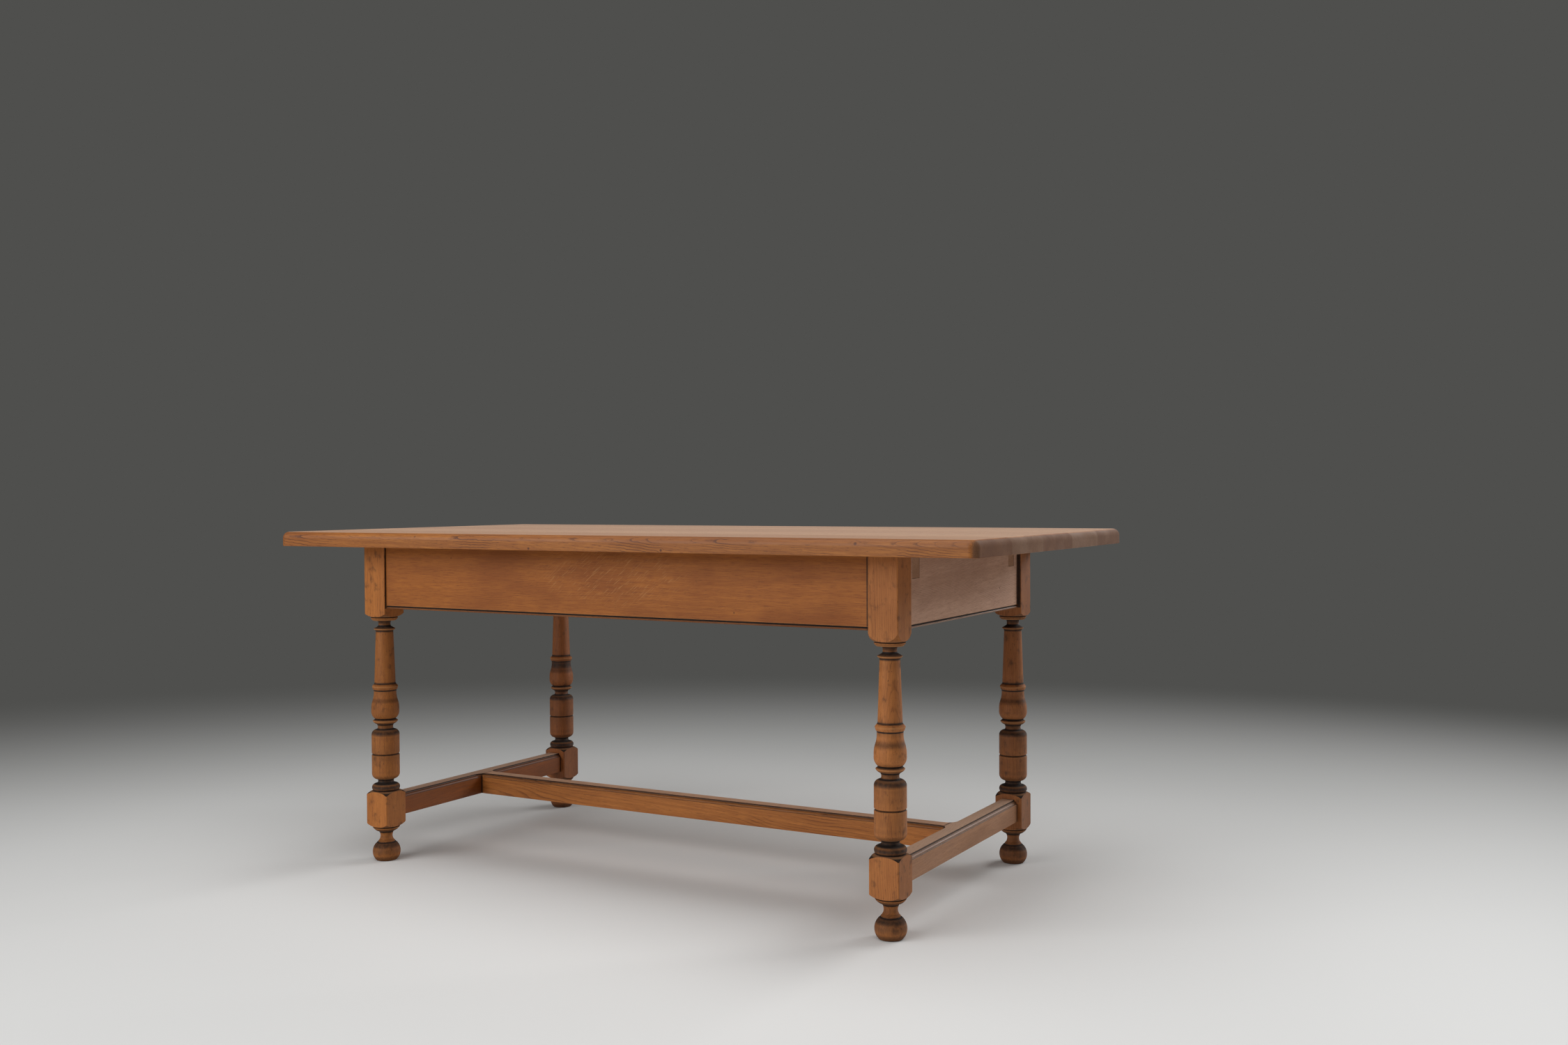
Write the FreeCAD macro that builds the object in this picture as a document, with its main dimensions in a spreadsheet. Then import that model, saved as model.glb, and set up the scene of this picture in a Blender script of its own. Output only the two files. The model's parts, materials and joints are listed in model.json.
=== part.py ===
"""Oak refectory table: turned legs, aprons, an H-stretcher, a boarded top and four pull-out lopers.

Millimetres. +X runs along the table, -Y is the front, +Z is up, and the origin is on the floor
under the middle of the table.
"""
import FreeCAD
import Part
import Sketcher
import math
import os
from collections import namedtuple
from types import SimpleNamespace

Vector = FreeCAD.Vector

# Driving dimensions, one row each: name, size, what it is
SIZES = [
    ("table_height", 760, "floor to the upper face of the top"),
    ("top_length", 1725, "length of the top"),
    ("top_width", 875, "width of the top"),
    ("top_thickness", 33, "thickness of the boards"),
    ("top_edge_round", 15, "rounding of the upper edge all round"),
    ("top_corner_round", 3, "rounding of the corners in plan, beyond that of the edge"),
    ("top_lower_ease", 1.5, "easing of the lower edge"),
    ("tongue_width", 30, "loose tongue, across the joint"),
    ("tongue_thickness", 8, "loose tongue, thickness"),
    ("tongue_stop", 70, "end of the tongue to the end of the board"),
    ("tongue_play", 0.2, "room round a tongue in its groove"),
    ("frame_length", 1350, "outside the legs, along the table"),
    ("frame_width", 720, "outside the legs, across the table"),
    ("leg_block", 63, "side of the square blocks of a leg"),
    ("leg_ease", 1.5, "easing of the arrises of the blocks"),
    ("foot_flat_dia", 46, "flat under the ball foot"),
    ("ball_dia", 62.6, "ball foot at its widest"),
    ("ball_top_dia", 42, "ball foot where it ends above"),
    ("ball_height", 41, "height of the ball foot"),
    ("foot_fillet_dia", 38, "fillet on the ball foot"),
    ("foot_fillet", 2.5, "height of that fillet"),
    ("foot_neck_dia", 27, "neck above the ball foot"),
    ("foot_neck", 23, "height of that neck"),
    ("foot_ring_root_dia", 35, "ring under the lower block, at its lower end"),
    ("foot_ring", 10, "height of that ring"),
    ("shoulder_dia", 61, "rings and shoulders beside the blocks"),
    ("quirk_dia", 57, "sunk line beside the blocks"),
    ("quirk", 2.5, "height of that sunk line"),
    ("pommel", 12, "height of the turned shoulder of a block"),
    ("lower_block", 81.5, "lower block between its shoulders"),
    ("ring_foot_dia", 59, "torus on the lower block, at its foot"),
    ("ring_top_dia", 44, "torus on the lower block, where it ends above"),
    ("ring", 14, "height of that torus"),
    ("ring_swell", 5.3, "rise of the torus over its chord"),
    ("lower_neck_dia", 35.4, "neck over the torus"),
    ("lower_neck", 10.5, "height of that neck"),
    ("drum_root_dia", 38.5, "drums where they meet the necks"),
    ("drum_dia", 62.6, "the two drums"),
    ("lower_drum", 55.5, "height of the lower drum"),
    ("drum_shoulder", 14, "rounded part of the lower drum"),
    ("drum_groove_dia", 58.4, "groove between the drums"),
    ("drum_groove", 5.5, "height of that groove"),
    ("upper_drum", 54, "height of the upper drum"),
    ("upper_shoulder", 11, "rounded part of the upper drum"),
    ("vase_neck_dia", 34.2, "neck under the vase"),
    ("vase_neck", 12.5, "height of that neck"),
    ("disc_root_dia", 39, "disc under the vase, at its lower end"),
    ("disc_dia", 56, "disc under the vase, at its edge"),
    ("disc_lower", 6.7, "height of the disc under its edge"),
    ("disc_edge", 1.2, "height of the edge of the disc"),
    ("disc_upper", 4.1, "height of the disc over its edge"),
    ("vase_foot_dia", 45.6, "vase where it stands on the disc"),
    ("vase_dia", 62.6, "vase at its widest"),
    ("vase_turn_dia", 55.4, "vase where it turns from round to hollow"),
    ("vase_top_dia", 51.2, "vase at its top"),
    ("vase_lower", 20.5, "height of the vase up to its widest"),
    ("vase_middle", 24, "height of the round part above that"),
    ("vase_upper", 22.5, "height of the hollow part"),
    ("collar_root_dia", 54.4, "collar over the vase, at its lower end"),
    ("collar_dia", 58.8, "collar over the vase, at its edge"),
    ("collar_step", 1, "step under that collar"),
    ("collar_lower", 7, "height of the collar under its edge"),
    ("collar_upper", 7, "height of the collar over its edge"),
    ("column_foot_dia", 47.6, "column at its foot"),
    ("column_top_dia", 39.2, "column at its top"),
    ("cap_dia", 48, "sharp collar over the column"),
    ("cap_lower", 4, "height of that collar under its edge"),
    ("cap_edge", 1.2, "height of its edge"),
    ("cap_upper", 5.8, "height of that collar over its edge"),
    ("top_neck_dia", 27.2, "neck under the upper block"),
    ("top_neck_foot_dia", 28.6, "that neck where it leaves the sharp collar"),
    ("top_neck_end_dia", 30, "that neck where it meets the disc over it"),
    ("top_neck", 13, "height of that neck"),
    ("top_disc_root_dia", 51, "disc under the upper block, at its lower end"),
    ("top_disc", 6.5, "height of that disc"),
    ("upper_block", 20.5, "upper block below the aprons"),
    ("apron_height", 143, "height of the aprons"),
    ("apron_thickness", 24, "thickness of the aprons"),
    ("long_setback", 6, "front and back aprons behind the faces of the legs"),
    ("end_setback", 9, "end aprons behind the faces of the legs"),
    ("apron_tenon", 10, "thickness of the apron tenons"),
    ("apron_tenon_gap", 2, "between the tenons of two aprons in a leg"),
    ("apron_tenon_top", 22, "apron over its tenon"),
    ("apron_tenon_bottom", 12, "apron under its tenon"),
    ("bead", 4.5, "bead on the lower edge of the aprons"),
    ("bead_groove", 2, "width and depth of the line over the bead"),
    ("apron_ease", 1, "easing of the lower edges of the aprons"),
    ("stretcher_width", 43, "width of the stretchers"),
    ("stretcher_height", 49, "height of the stretchers"),
    ("stretcher_rise", 21, "underside of the stretchers over the lower end of the block"),
    ("stretcher_ease", 1, "easing of the lower arrises of the stretchers"),
    ("moulding_step", 3.5, "moulding of the stretchers: step under the upper face"),
    ("moulding_round", 5.5, "moulding of the stretchers: radius of the bead"),
    ("moulding_lip", 2, "moulding of the stretchers: step into the side"),
    ("moulding_corner", 15, "moulding of the stretchers: radius of the inside corners"),
    ("stretcher_tenon", 16, "thickness of the stretcher tenons"),
    ("stretcher_tenon_foot", 5, "stretcher under its tenon"),
    ("stretcher_tenon_drop", 18, "stretcher over its tenon"),
    ("stretcher_tenon_length", 40, "end stretcher tenons, into the legs"),
    ("centre_tenon_length", 28, "centre stretcher tenons, into the end stretchers"),
    ("joint_play", 0.1, "room on each side of a tenon"),
    ("joint_depth", 2, "room for glue at the end of a tenon"),
    ("loper_width", 33, "width of a loper"),
    ("loper_height", 47.5, "height of a loper"),
    ("loper_play", 0.5, "room round a loper"),
    ("loper_draw", 500, "how far a loper pulls out"),
    ("loper_tail", 20, "loper past the far bearer when it is home"),
    ("right_pair", 39, "legs to the middle of a right loper"),
    ("left_pair", 84, "legs to the middle of a left loper"),
    ("peg_dia", 12, "stop peg"),
    ("peg_drop", 18, "stop peg below its loper"),
    ("peg_seat", 30, "stop peg in its loper"),
    ("peg_play", 0.1, "room round a peg in its hole"),
    ("peg_gap", 0.5, "between a peg and the bearer that stops it"),
    ("bearer_thickness", 30, "thickness of the cross bearers"),
    ("bearer_height", 88, "height of the cross bearers"),
    ("bearer_housing", 8, "bearer let into an apron"),
    ("button_length", 38, "button, from the apron inwards"),
    ("button_width", 28, "button, along the apron"),
    ("button_height", 20, "button, under the top"),
    ("button_tongue", 9, "tongue of a button, length and height"),
    ("button_play", 0.5, "room round the tongue of a button"),
    ("end_buttons", 200, "between the buttons of an end apron"),
    ("inner_buttons", 280, "between the inner buttons of a long apron"),
    ("outer_buttons", 142, "legs to the outer buttons of a long apron"),
    ("screw_length", 30, "length of a button screw"),
    ("screw_dia", 4.5, "shank of a button screw"),
    ("screw_head_dia", 9, "head of a button screw"),
    ("screw_head", 3, "height of the countersunk head"),
    ("screw_slot", 1.2, "width and depth of the screw slot"),
    ("screw_play", 0.05, "room round a screw in its hole"),
    ("screw_clear", 2.5, "tip of a screw to the underside of a tongue"),
]

# Number of boards in the top
BOARDS = 5
# Rise of a rounded side over its chord, as a share of the chord
FULL_ROUND = 0.2
SOFT_ROUND = 0.09
FAINT_ROUND = 0.05
# Cutting profiles and holes run this far past the faces that they leave, in mm
OVERCUT = 1.0
# Faces and edges are told apart to this accuracy, in mm
NEAR = 0.01
# Half the diagonal of a unit square
HALF_DIAGONAL = math.sqrt(0.5)


class Size:
    """A length held as a number and as the sheet expression that gives it."""

    def __init__(self, value, text):
        self.value = value
        self.text = text

    def __add__(self, other):
        other = as_size(other)
        return Size(self.value + other.value, f"({self.text} + {other.text})")

    def __sub__(self, other):
        other = as_size(other)
        return Size(self.value - other.value, f"({self.text} - {other.text})")

    def __mul__(self, other):
        other = as_size(other)
        return Size(self.value * other.value, f"{self.text} * {other.text}")

    def __truediv__(self, other):
        other = as_size(other)
        return Size(self.value / other.value, f"({self.text}) / ({other.text})")

    def __neg__(self):
        return Size(-self.value, f"(0 - {self.text})")

    def root(self):
        return Size(math.sqrt(self.value), f"sqrt({self.text})")


def as_size(item):
    """Plain numbers take part in the arithmetic of sizes."""
    if isinstance(item, Size):
        return item
    return Size(float(item), f"({float(item)})")


doc = FreeCAD.newDocument("refectory_table")
sheet = doc.addObject("Spreadsheet::Sheet", "Sizes")
for number, (name, value, meaning) in enumerate(SIZES, start=1):
    sheet.set(f"A{number}", meaning)
    sheet.set(f"B{number}", str(value))
    sheet.setAlias(f"B{number}", name)
doc.recompute()
s = SimpleNamespace(**{name: Size(float(sheet.get(name)), f"Sizes.{name}") for name, _, _ in SIZES})
sub_parts = []


def new_body(name, place=(0, 0, 0)):
    """A sub-part of the table, with its own frame at the given place."""
    body = doc.addObject("PartDesign::Body", name)
    body.Label = name
    for axis, position in zip("xyz", place):
        body.setExpression("Placement.Base." + axis, as_size(position).text)
    sub_parts.append(body)
    return body


def box(body, kind, name, corner, opposite):
    """An Additive or Subtractive box between two opposite corners."""
    feature = body.newObject(f"PartDesign::{kind}Box", name)
    for axis, side, one, two in zip("xyz", ("Length", "Width", "Height"), corner, opposite):
        low, high = sorted((as_size(one), as_size(two)), key=lambda size: size.value)
        feature.setExpression(side, (high - low).text)
        feature.setExpression("Placement.Base." + axis, low.text)
    doc.recompute()
    return feature


def cylinder(body, kind, name, foot, radius, height):
    """An Additive or Subtractive upright cylinder that stands on its foot."""
    feature = body.newObject(f"PartDesign::{kind}Cylinder", name)
    feature.setExpression("Radius", as_size(radius).text)
    feature.setExpression("Height", as_size(height).text)
    for axis, position in zip("xyz", foot):
        feature.setExpression("Placement.Base." + axis, as_size(position).text)
    doc.recompute()
    return feature


def round_edges(body, name, radius, wanted):
    """Round the edges whose middle point passes the test."""
    base = body.Tip
    names = [f"Edge{index}" for index, edge in enumerate(base.Shape.Edges, start=1) if wanted(edge)]
    fillet = body.newObject("PartDesign::Fillet", name)
    fillet.Base = (base, names)
    fillet.setExpression("Radius", radius.text)
    doc.recompute()
    return fillet


def middle(edge):
    """The point halfway along an edge."""
    return edge.valueAt((edge.FirstParameter + edge.LastParameter) / 2)


def near(one, two):
    """Whether two numbers are the same length."""
    return abs(one - two) < NEAR


def upright(edge):
    """Whether an edge runs straight up."""
    start, end = edge.Vertexes[0].Point, edge.Vertexes[-1].Point
    return near(start.x, end.x) and near(start.y, end.y)


# A corner of an outline; rise lifts the side that leaves it into an arc, outwards if it is positive
Corner = namedtuple("Corner", "across up rise", defaults=(None,))


def arc_through(start, end):
    """The arc between two corners, drawn anticlockwise."""
    run = end.across.value - start.across.value
    climb = end.up.value - start.up.value
    chord = math.hypot(run, climb)
    lift = start.rise.value / chord
    halfway = Vector((start.across.value + end.across.value) / 2, (start.up.value + end.up.value) / 2, 0)
    top = halfway + Vector(climb * lift, -run * lift, 0)
    if start.rise.value > 0:
        return Part.Arc(flat(start), top, flat(end))
    return Part.Arc(flat(end), top, flat(start))


def flat(corner):
    """A corner as a point of its sketch."""
    return Vector(corner.across.value, corner.up.value, 0)


def chord_of(start, end):
    """Distance between two corners."""
    run = end.across - start.across
    climb = end.up - start.up
    return (run * run + climb * climb).root()


def outline(body, role, name, corners, offset=(0, 0, 0)):
    """A closed sketch of lines and arcs on an origin plane, every corner bound to the sheet."""
    sketch = body.newObject("Sketcher::SketchObject", name)
    plane = [feature for feature in body.Origin.OriginFeatures if feature.Role == role][0]
    sketch.AttachmentSupport = (plane, [""])
    sketch.MapMode = "FlatFace"
    for axis, position in zip("xyz", offset):
        sketch.setExpression("AttachmentOffset.Base." + axis, as_size(position).text)
    sides = list(zip(corners, corners[1:] + corners[:1]))
    starts, ends = [], []
    for start, end in sides:
        shape = Part.LineSegment(flat(start), flat(end)) if start.rise is None else arc_through(start, end)
        side = sketch.addGeometry(shape, False)
        forward = start.rise is None or start.rise.value > 0
        starts.append((side, 1 if forward else 2))
        ends.append((side, 2 if forward else 1))
    sketch.addConstraint([
        Sketcher.Constraint("Coincident", *end, *start) for end, start in zip(ends, starts[1:] + starts[:1])
    ])
    for index, ((start, end), vertex) in enumerate(zip(sides, starts)):
        for kind, axis_line, size in (("DistanceX", -2, start.across), ("DistanceY", -1, start.up)):
            if near(size.value, 0):
                sketch.addConstraint(Sketcher.Constraint("PointOnObject", *vertex, axis_line))
            else:
                bind_constraint(sketch, f"{kind}_{index}", size, kind, -1, 1, *vertex)
        if start.rise is not None:
            lift = start.rise if start.rise.value > 0 else -start.rise
            chord = chord_of(start, end)
            radius = (chord * chord / 4 + lift * lift) / (lift * 2)
            bind_constraint(sketch, f"Radius_{index}", radius, "Radius", vertex[0])
    doc.recompute()
    return sketch


def bind_constraint(sketch, name, size, kind, *where):
    """A dimension of a sketch that follows the sheet."""
    number = sketch.addConstraint(Sketcher.Constraint(kind, *where, size.value))
    sketch.renameConstraint(number, name)
    sketch.setExpression("Constraints." + name, size.text)


def turn(body, sketch, name):
    """Cut the outline away all round the upright axis of its sketch."""
    groove = body.newObject("PartDesign::Groove", name)
    groove.Profile = sketch
    groove.ReferenceAxis = (sketch, ["V_Axis"])
    groove.Angle = 360
    doc.recompute()
    return groove


def run_cut(body, sketch, name, length):
    """Cut the outline away along a straight run, half of it to each side of its sketch."""
    pocket = body.newObject("PartDesign::Pocket", name)
    pocket.Profile = sketch
    pocket.SideType = "Symmetric"
    pocket.setExpression("Length", length.text)
    doc.recompute()
    return pocket


# Places that several pieces share
leg_height = s.table_height - s.top_thickness
half_block = s.leg_block / 2
leg_x = (s.frame_length - s.leg_block) / 2
leg_y = (s.frame_width - s.leg_block) / 2
inner_x = s.frame_length / 2 - s.leg_block
inner_y = s.frame_width / 2 - s.leg_block
apron_bottom = leg_height - s.apron_height
tenon_low = apron_bottom + s.apron_tenon_bottom
tenon_high = leg_height - s.apron_tenon_top
long_face = s.frame_width / 2 - s.long_setback
long_inside = long_face - s.apron_thickness
end_face = s.frame_length / 2 - s.end_setback
end_inside = end_face - s.apron_thickness
tenon_inset = (s.apron_thickness - s.apron_tenon) / 2
crossing = tenon_inset + s.apron_tenon + s.apron_tenon_gap
long_tenon_length = s.leg_block - s.end_setback - crossing
end_tenon_length = s.leg_block - s.long_setback - crossing
block_bottom = s.ball_height + s.foot_fillet + s.foot_neck + s.foot_ring + s.quirk
block_top = block_bottom + s.lower_block
rail_bottom = block_bottom + s.stretcher_rise
rail_top = rail_bottom + s.stretcher_height
rail_tenon_high = rail_top - s.stretcher_tenon_drop
rail_tenon_low = rail_bottom + s.stretcher_tenon_foot
half_rail = s.stretcher_width / 2
half_tenon = s.stretcher_tenon / 2
centre_reach = leg_x - half_rail
loper_bottom = leg_height - s.loper_play - s.loper_height
notch_bottom = loper_bottom - s.loper_play
half_notch = s.loper_width / 2 + s.loper_play
bearer_inside = (s.loper_draw + s.peg_dia) / 2 + s.peg_gap
bearer_outside = bearer_inside + s.bearer_thickness
peg_home = bearer_inside - s.peg_gap - s.peg_dia / 2
half_top_length = s.top_length / 2
half_top_width = s.top_width / 2
board_width = s.top_width / BOARDS
corner_radius = s.top_edge_round + s.top_corner_round
screw_tip = leg_height - s.button_height + s.screw_length
tongue_bottom = screw_tip + s.screw_clear
tongue_reach = half_top_length - s.tongue_stop
loper_places = {"right": inner_y - s.right_pair, "left": inner_y - s.left_pair}
turning_reach = s.leg_block * HALF_DIAGONAL + OVERCUT


def hollow(first_dia, neck_dia, last_dia):
    """Rise of a hollow that reaches the neck diameter between two others."""
    return -((first_dia + last_dia) / 4 - neck_dia / 2)


def rounded(share, first, last):
    """Rise of a side that is a share of its chord."""
    return chord_of(first, last) * share


def with_rise(corners, shares):
    """Give the sides that leave the numbered corners a rise by share of chord."""
    for index, share in shares.items():
        rise = rounded(share, corners[index], corners[index + 1])
        corners[index] = corners[index]._replace(rise=rise)
    return corners


def foot_outline():
    """What the lathe takes away under the lower block."""
    fillet_low = s.ball_height
    neck_low = fillet_low + s.foot_fillet
    ring_low = neck_low + s.foot_neck
    ring_high = ring_low + s.foot_ring
    swell = s.ball_dia / 2 - (s.foot_flat_dia + s.ball_top_dia) / 4
    cove = hollow(s.foot_fillet_dia, s.foot_neck_dia, s.foot_ring_root_dia)
    corners = [
        Corner(s.foot_flat_dia / 2, as_size(0), swell),
        Corner(s.ball_top_dia / 2, fillet_low),
        Corner(s.foot_fillet_dia / 2, fillet_low),
        Corner(s.foot_fillet_dia / 2, neck_low, cove),
        Corner(s.foot_ring_root_dia / 2, ring_low),
        Corner(s.shoulder_dia / 2, ring_high),
        Corner(s.quirk_dia / 2, ring_high + s.quirk / 2),
        Corner(s.shoulder_dia / 2, block_bottom),
        Corner(turning_reach, block_bottom + s.pommel),
        Corner(turning_reach, as_size(0)),
    ]
    return with_rise(corners, {4: SOFT_ROUND, 7: SOFT_ROUND})


def shaft_outline():
    """What the lathe takes away between the two blocks."""
    ring_low = block_top + s.quirk
    neck_low = ring_low + s.ring
    drum_low = neck_low + s.lower_neck
    groove_low = drum_low + s.lower_drum
    groove_high = groove_low + s.drum_groove
    drum_high = groove_high + s.upper_drum
    disc_low = drum_high + s.vase_neck
    disc_edge = disc_low + s.disc_lower
    vase_low = disc_edge + s.disc_edge + s.disc_upper
    vase_wide = vase_low + s.vase_lower
    vase_turn = vase_wide + s.vase_middle
    vase_high = vase_turn + s.vase_upper
    collar_low = vase_high + s.collar_step
    collar_edge = collar_low + s.collar_lower
    column_low = collar_edge + s.collar_upper
    shoulder = apron_bottom - s.upper_block
    disc_high = shoulder - s.quirk
    neck_high = disc_high - s.top_disc
    cap_high = neck_high - s.top_neck
    cap_edge = cap_high - s.cap_upper
    column_high = cap_edge - s.cap_edge - s.cap_lower
    lower_cove = hollow(s.ring_top_dia, s.lower_neck_dia, s.drum_root_dia)
    vase_cove = hollow(s.drum_root_dia, s.vase_neck_dia, s.disc_root_dia)
    top_cove = hollow(s.top_neck_foot_dia, s.top_neck_dia, s.top_neck_end_dia)
    corners = [
        Corner(turning_reach, block_top - s.pommel),
        Corner(s.shoulder_dia / 2, block_top),
        Corner(s.quirk_dia / 2, block_top + s.quirk / 2),
        Corner(s.ring_foot_dia / 2, ring_low, s.ring_swell),
        Corner(s.ring_top_dia / 2, neck_low, lower_cove),
        Corner(s.drum_root_dia / 2, drum_low),
        Corner(s.drum_dia / 2, drum_low + s.drum_shoulder),
        Corner(s.drum_dia / 2, groove_low),
        Corner(s.drum_groove_dia / 2, groove_low + s.drum_groove / 2),
        Corner(s.drum_dia / 2, groove_high),
        Corner(s.drum_dia / 2, drum_high - s.upper_shoulder),
        Corner(s.drum_root_dia / 2, drum_high, vase_cove),
        Corner(s.disc_root_dia / 2, disc_low),
        Corner(s.disc_dia / 2, disc_edge),
        Corner(s.disc_dia / 2, disc_edge + s.disc_edge),
        Corner(s.vase_foot_dia / 2, vase_low),
        Corner(s.vase_dia / 2, vase_wide),
        Corner(s.vase_turn_dia / 2, vase_turn),
        Corner(s.vase_top_dia / 2, vase_high),
        Corner(s.collar_root_dia / 2, collar_low),
        Corner(s.collar_dia / 2, collar_edge),
        Corner(s.column_foot_dia / 2, column_low),
        Corner(s.column_top_dia / 2, column_high),
        Corner(s.cap_dia / 2, cap_edge - s.cap_edge),
        Corner(s.cap_dia / 2, cap_edge),
        Corner(s.top_neck_foot_dia / 2, cap_high, top_cove),
        Corner(s.top_neck_end_dia / 2, neck_high),
        Corner(s.top_disc_root_dia / 2, neck_high),
        Corner(s.shoulder_dia / 2, disc_high),
        Corner(s.quirk_dia / 2, disc_high + s.quirk / 2),
        Corner(s.shoulder_dia / 2, shoulder),
        Corner(turning_reach, shoulder + s.pommel),
    ]
    shares = {0: SOFT_ROUND, 5: FULL_ROUND, 10: FULL_ROUND, 12: SOFT_ROUND, 15: FULL_ROUND, 16: FAINT_ROUND,
              17: -FAINT_ROUND, 27: SOFT_ROUND, 30: SOFT_ROUND}
    return with_rise(corners, shares)


def make_leg(name, side_x, side_y):
    """One turning from ball foot to upper block, with the mortises for two aprons and a stretcher."""
    leg = new_body(name, (leg_x * side_x, leg_y * side_y, 0))
    box(leg, "Additive", name + "_blank", (-half_block, -half_block, 0), (half_block, half_block, leg_height))
    round_edges(leg, name + "_ease", s.leg_ease, upright)
    turn(leg, outline(leg, "XZ_Plane", name + "_foot", foot_outline()), name + "_foot_turning")
    turn(leg, outline(leg, "XZ_Plane", name + "_shaft", shaft_outline()), name + "_shaft_turning")
    long_depth = half_block - long_tenon_length - s.joint_depth
    end_depth = half_block - end_tenon_length - s.joint_depth
    mouth = half_block + OVERCUT
    low = tenon_low - s.joint_play
    high = tenon_high + s.joint_play
    near_y = half_block - s.long_setback - tenon_inset + s.joint_play
    far_y = near_y - s.apron_tenon - s.joint_play * 2
    box(leg, "Subtractive", name + "_long_mortise",
        (long_depth * -side_x, near_y * side_y, low), (mouth * -side_x, far_y * side_y, high))
    near_x = half_block - s.end_setback - tenon_inset + s.joint_play
    far_x = near_x - s.apron_tenon - s.joint_play * 2
    box(leg, "Subtractive", name + "_end_mortise",
        (near_x * side_x, end_depth * -side_y, low), (far_x * side_x, mouth * -side_y, high))
    rail_depth = half_block - s.stretcher_tenon_length - s.joint_depth
    cheek = half_tenon + s.joint_play
    box(leg, "Subtractive", name + "_stretcher_mortise",
        (-cheek, rail_depth * -side_y, rail_tenon_low - s.joint_play),
        (cheek, mouth * -side_y, rail_tenon_high + s.joint_play))


def lower_edges_of(level):
    """Test for the straight edges at a level."""
    return lambda edge: near(middle(edge).z, level.value) and near(edge.Vertexes[0].Z, edge.Vertexes[-1].Z)


def button_slot(body, name, along, inside, side, axis):
    """Slot in the inner face of an apron for the tongue of a button."""
    half = s.button_width / 2 + s.button_play
    depth = inside + s.button_tongue + s.button_play * 2
    low = leg_height - s.button_height - s.button_play
    high = leg_height - s.button_height + s.button_tongue + s.button_play
    corner = [along - half, (inside - OVERCUT) * side, low]
    opposite = [along + half, depth * side, high]
    if axis == "y":
        corner[:2] = corner[1::-1]
        opposite[:2] = opposite[1::-1]
    box(body, "Subtractive", name, corner, opposite)


def make_long_apron(name, side):
    """Front or back apron, tenoned into two legs and housed for the cross bearers."""
    apron = new_body(name)
    box(apron, "Additive", name + "_board",
        (-inner_x, long_inside * side, apron_bottom), (inner_x, long_face * side, leg_height))
    round_edges(apron, name + "_ease", s.apron_ease, lambda edge: lower_edges_of(apron_bottom)(edge)
                and near(edge.Vertexes[0].Y, edge.Vertexes[-1].Y))
    reach = inner_x + long_tenon_length
    for end in (-1, 1):
        box(apron, "Additive", f"{name}_tenon_{end + 1}",
            (inner_x * end, (long_inside + tenon_inset) * side, tenon_low),
            (reach * end, (long_face - tenon_inset) * side, tenon_high))
        box(apron, "Subtractive", f"{name}_housing_{end + 1}",
            (bearer_inside * end, (long_inside - OVERCUT) * side, leg_height - s.bearer_height),
            (bearer_outside * end, (long_inside + s.bearer_housing) * side, leg_height + OVERCUT))
    line = apron_bottom + s.bead
    box(apron, "Subtractive", name + "_bead_line",
        (-inner_x - OVERCUT, (long_face - s.bead_groove) * side, line),
        (inner_x + OVERCUT, (long_face + OVERCUT) * side, line + s.bead_groove))
    for index, along in enumerate(long_button_places()):
        button_slot(apron, f"{name}_slot_{index}", along, long_inside, side, "x")


def make_end_apron(name, side, loper_place):
    """End apron, tenoned into two legs and notched in its upper edge for a pair of lopers."""
    apron = new_body(name)
    box(apron, "Additive", name + "_board",
        (end_inside * side, -inner_y, apron_bottom), (end_face * side, inner_y, leg_height))
    round_edges(apron, name + "_ease", s.apron_ease, lambda edge: lower_edges_of(apron_bottom)(edge)
                and near(edge.Vertexes[0].X, edge.Vertexes[-1].X))
    reach = inner_y + end_tenon_length
    for end in (-1, 1):
        box(apron, "Additive", f"{name}_tenon_{end + 1}",
            ((end_inside + tenon_inset) * side, inner_y * end, tenon_low),
            ((end_face - tenon_inset) * side, reach * end, tenon_high))
        middle_y = loper_place * end
        box(apron, "Subtractive", f"{name}_notch_{end + 1}",
            ((end_inside - OVERCUT) * side, middle_y - half_notch, notch_bottom),
            ((end_face + OVERCUT) * side, middle_y + half_notch, leg_height + OVERCUT))
        button_slot(apron, f"{name}_slot_{end + 1}", s.end_buttons / 2 * end, end_inside, side, "y")
    line = apron_bottom + s.bead
    box(apron, "Subtractive", name + "_bead_line",
        ((end_face - s.bead_groove) * side, -inner_y - OVERCUT, line),
        ((end_face + OVERCUT) * side, inner_y + OVERCUT, line + s.bead_groove))


def moulding_outline(start, inwards):
    """Section of the moulding; start is the side of the rail and inwards the way into the wood."""
    lip = start + s.moulding_lip * inwards
    deep = lip + s.moulding_round * inwards
    outside = start - OVERCUT * inwards
    bead_foot = rail_top - s.moulding_step - s.moulding_round
    bead_top = rail_top - s.moulding_step
    above = rail_top + OVERCUT
    quarter = s.moulding_round * (1 - HALF_DIAGONAL)
    corners = [
        Corner(outside, bead_foot),
        Corner(lip, bead_foot, quarter * -inwards),
        Corner(deep, bead_top),
        Corner(deep, above),
        Corner(outside, above),
    ]
    return corners


def inside_corner(rail, name, across, along):
    """Moulding turned round an inside corner of the stretchers."""
    section = moulding_outline(s.moulding_corner, 1)
    turn(rail, outline(rail, "XZ_Plane", name + "_section", section, (across, 0, -along)), name)


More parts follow.
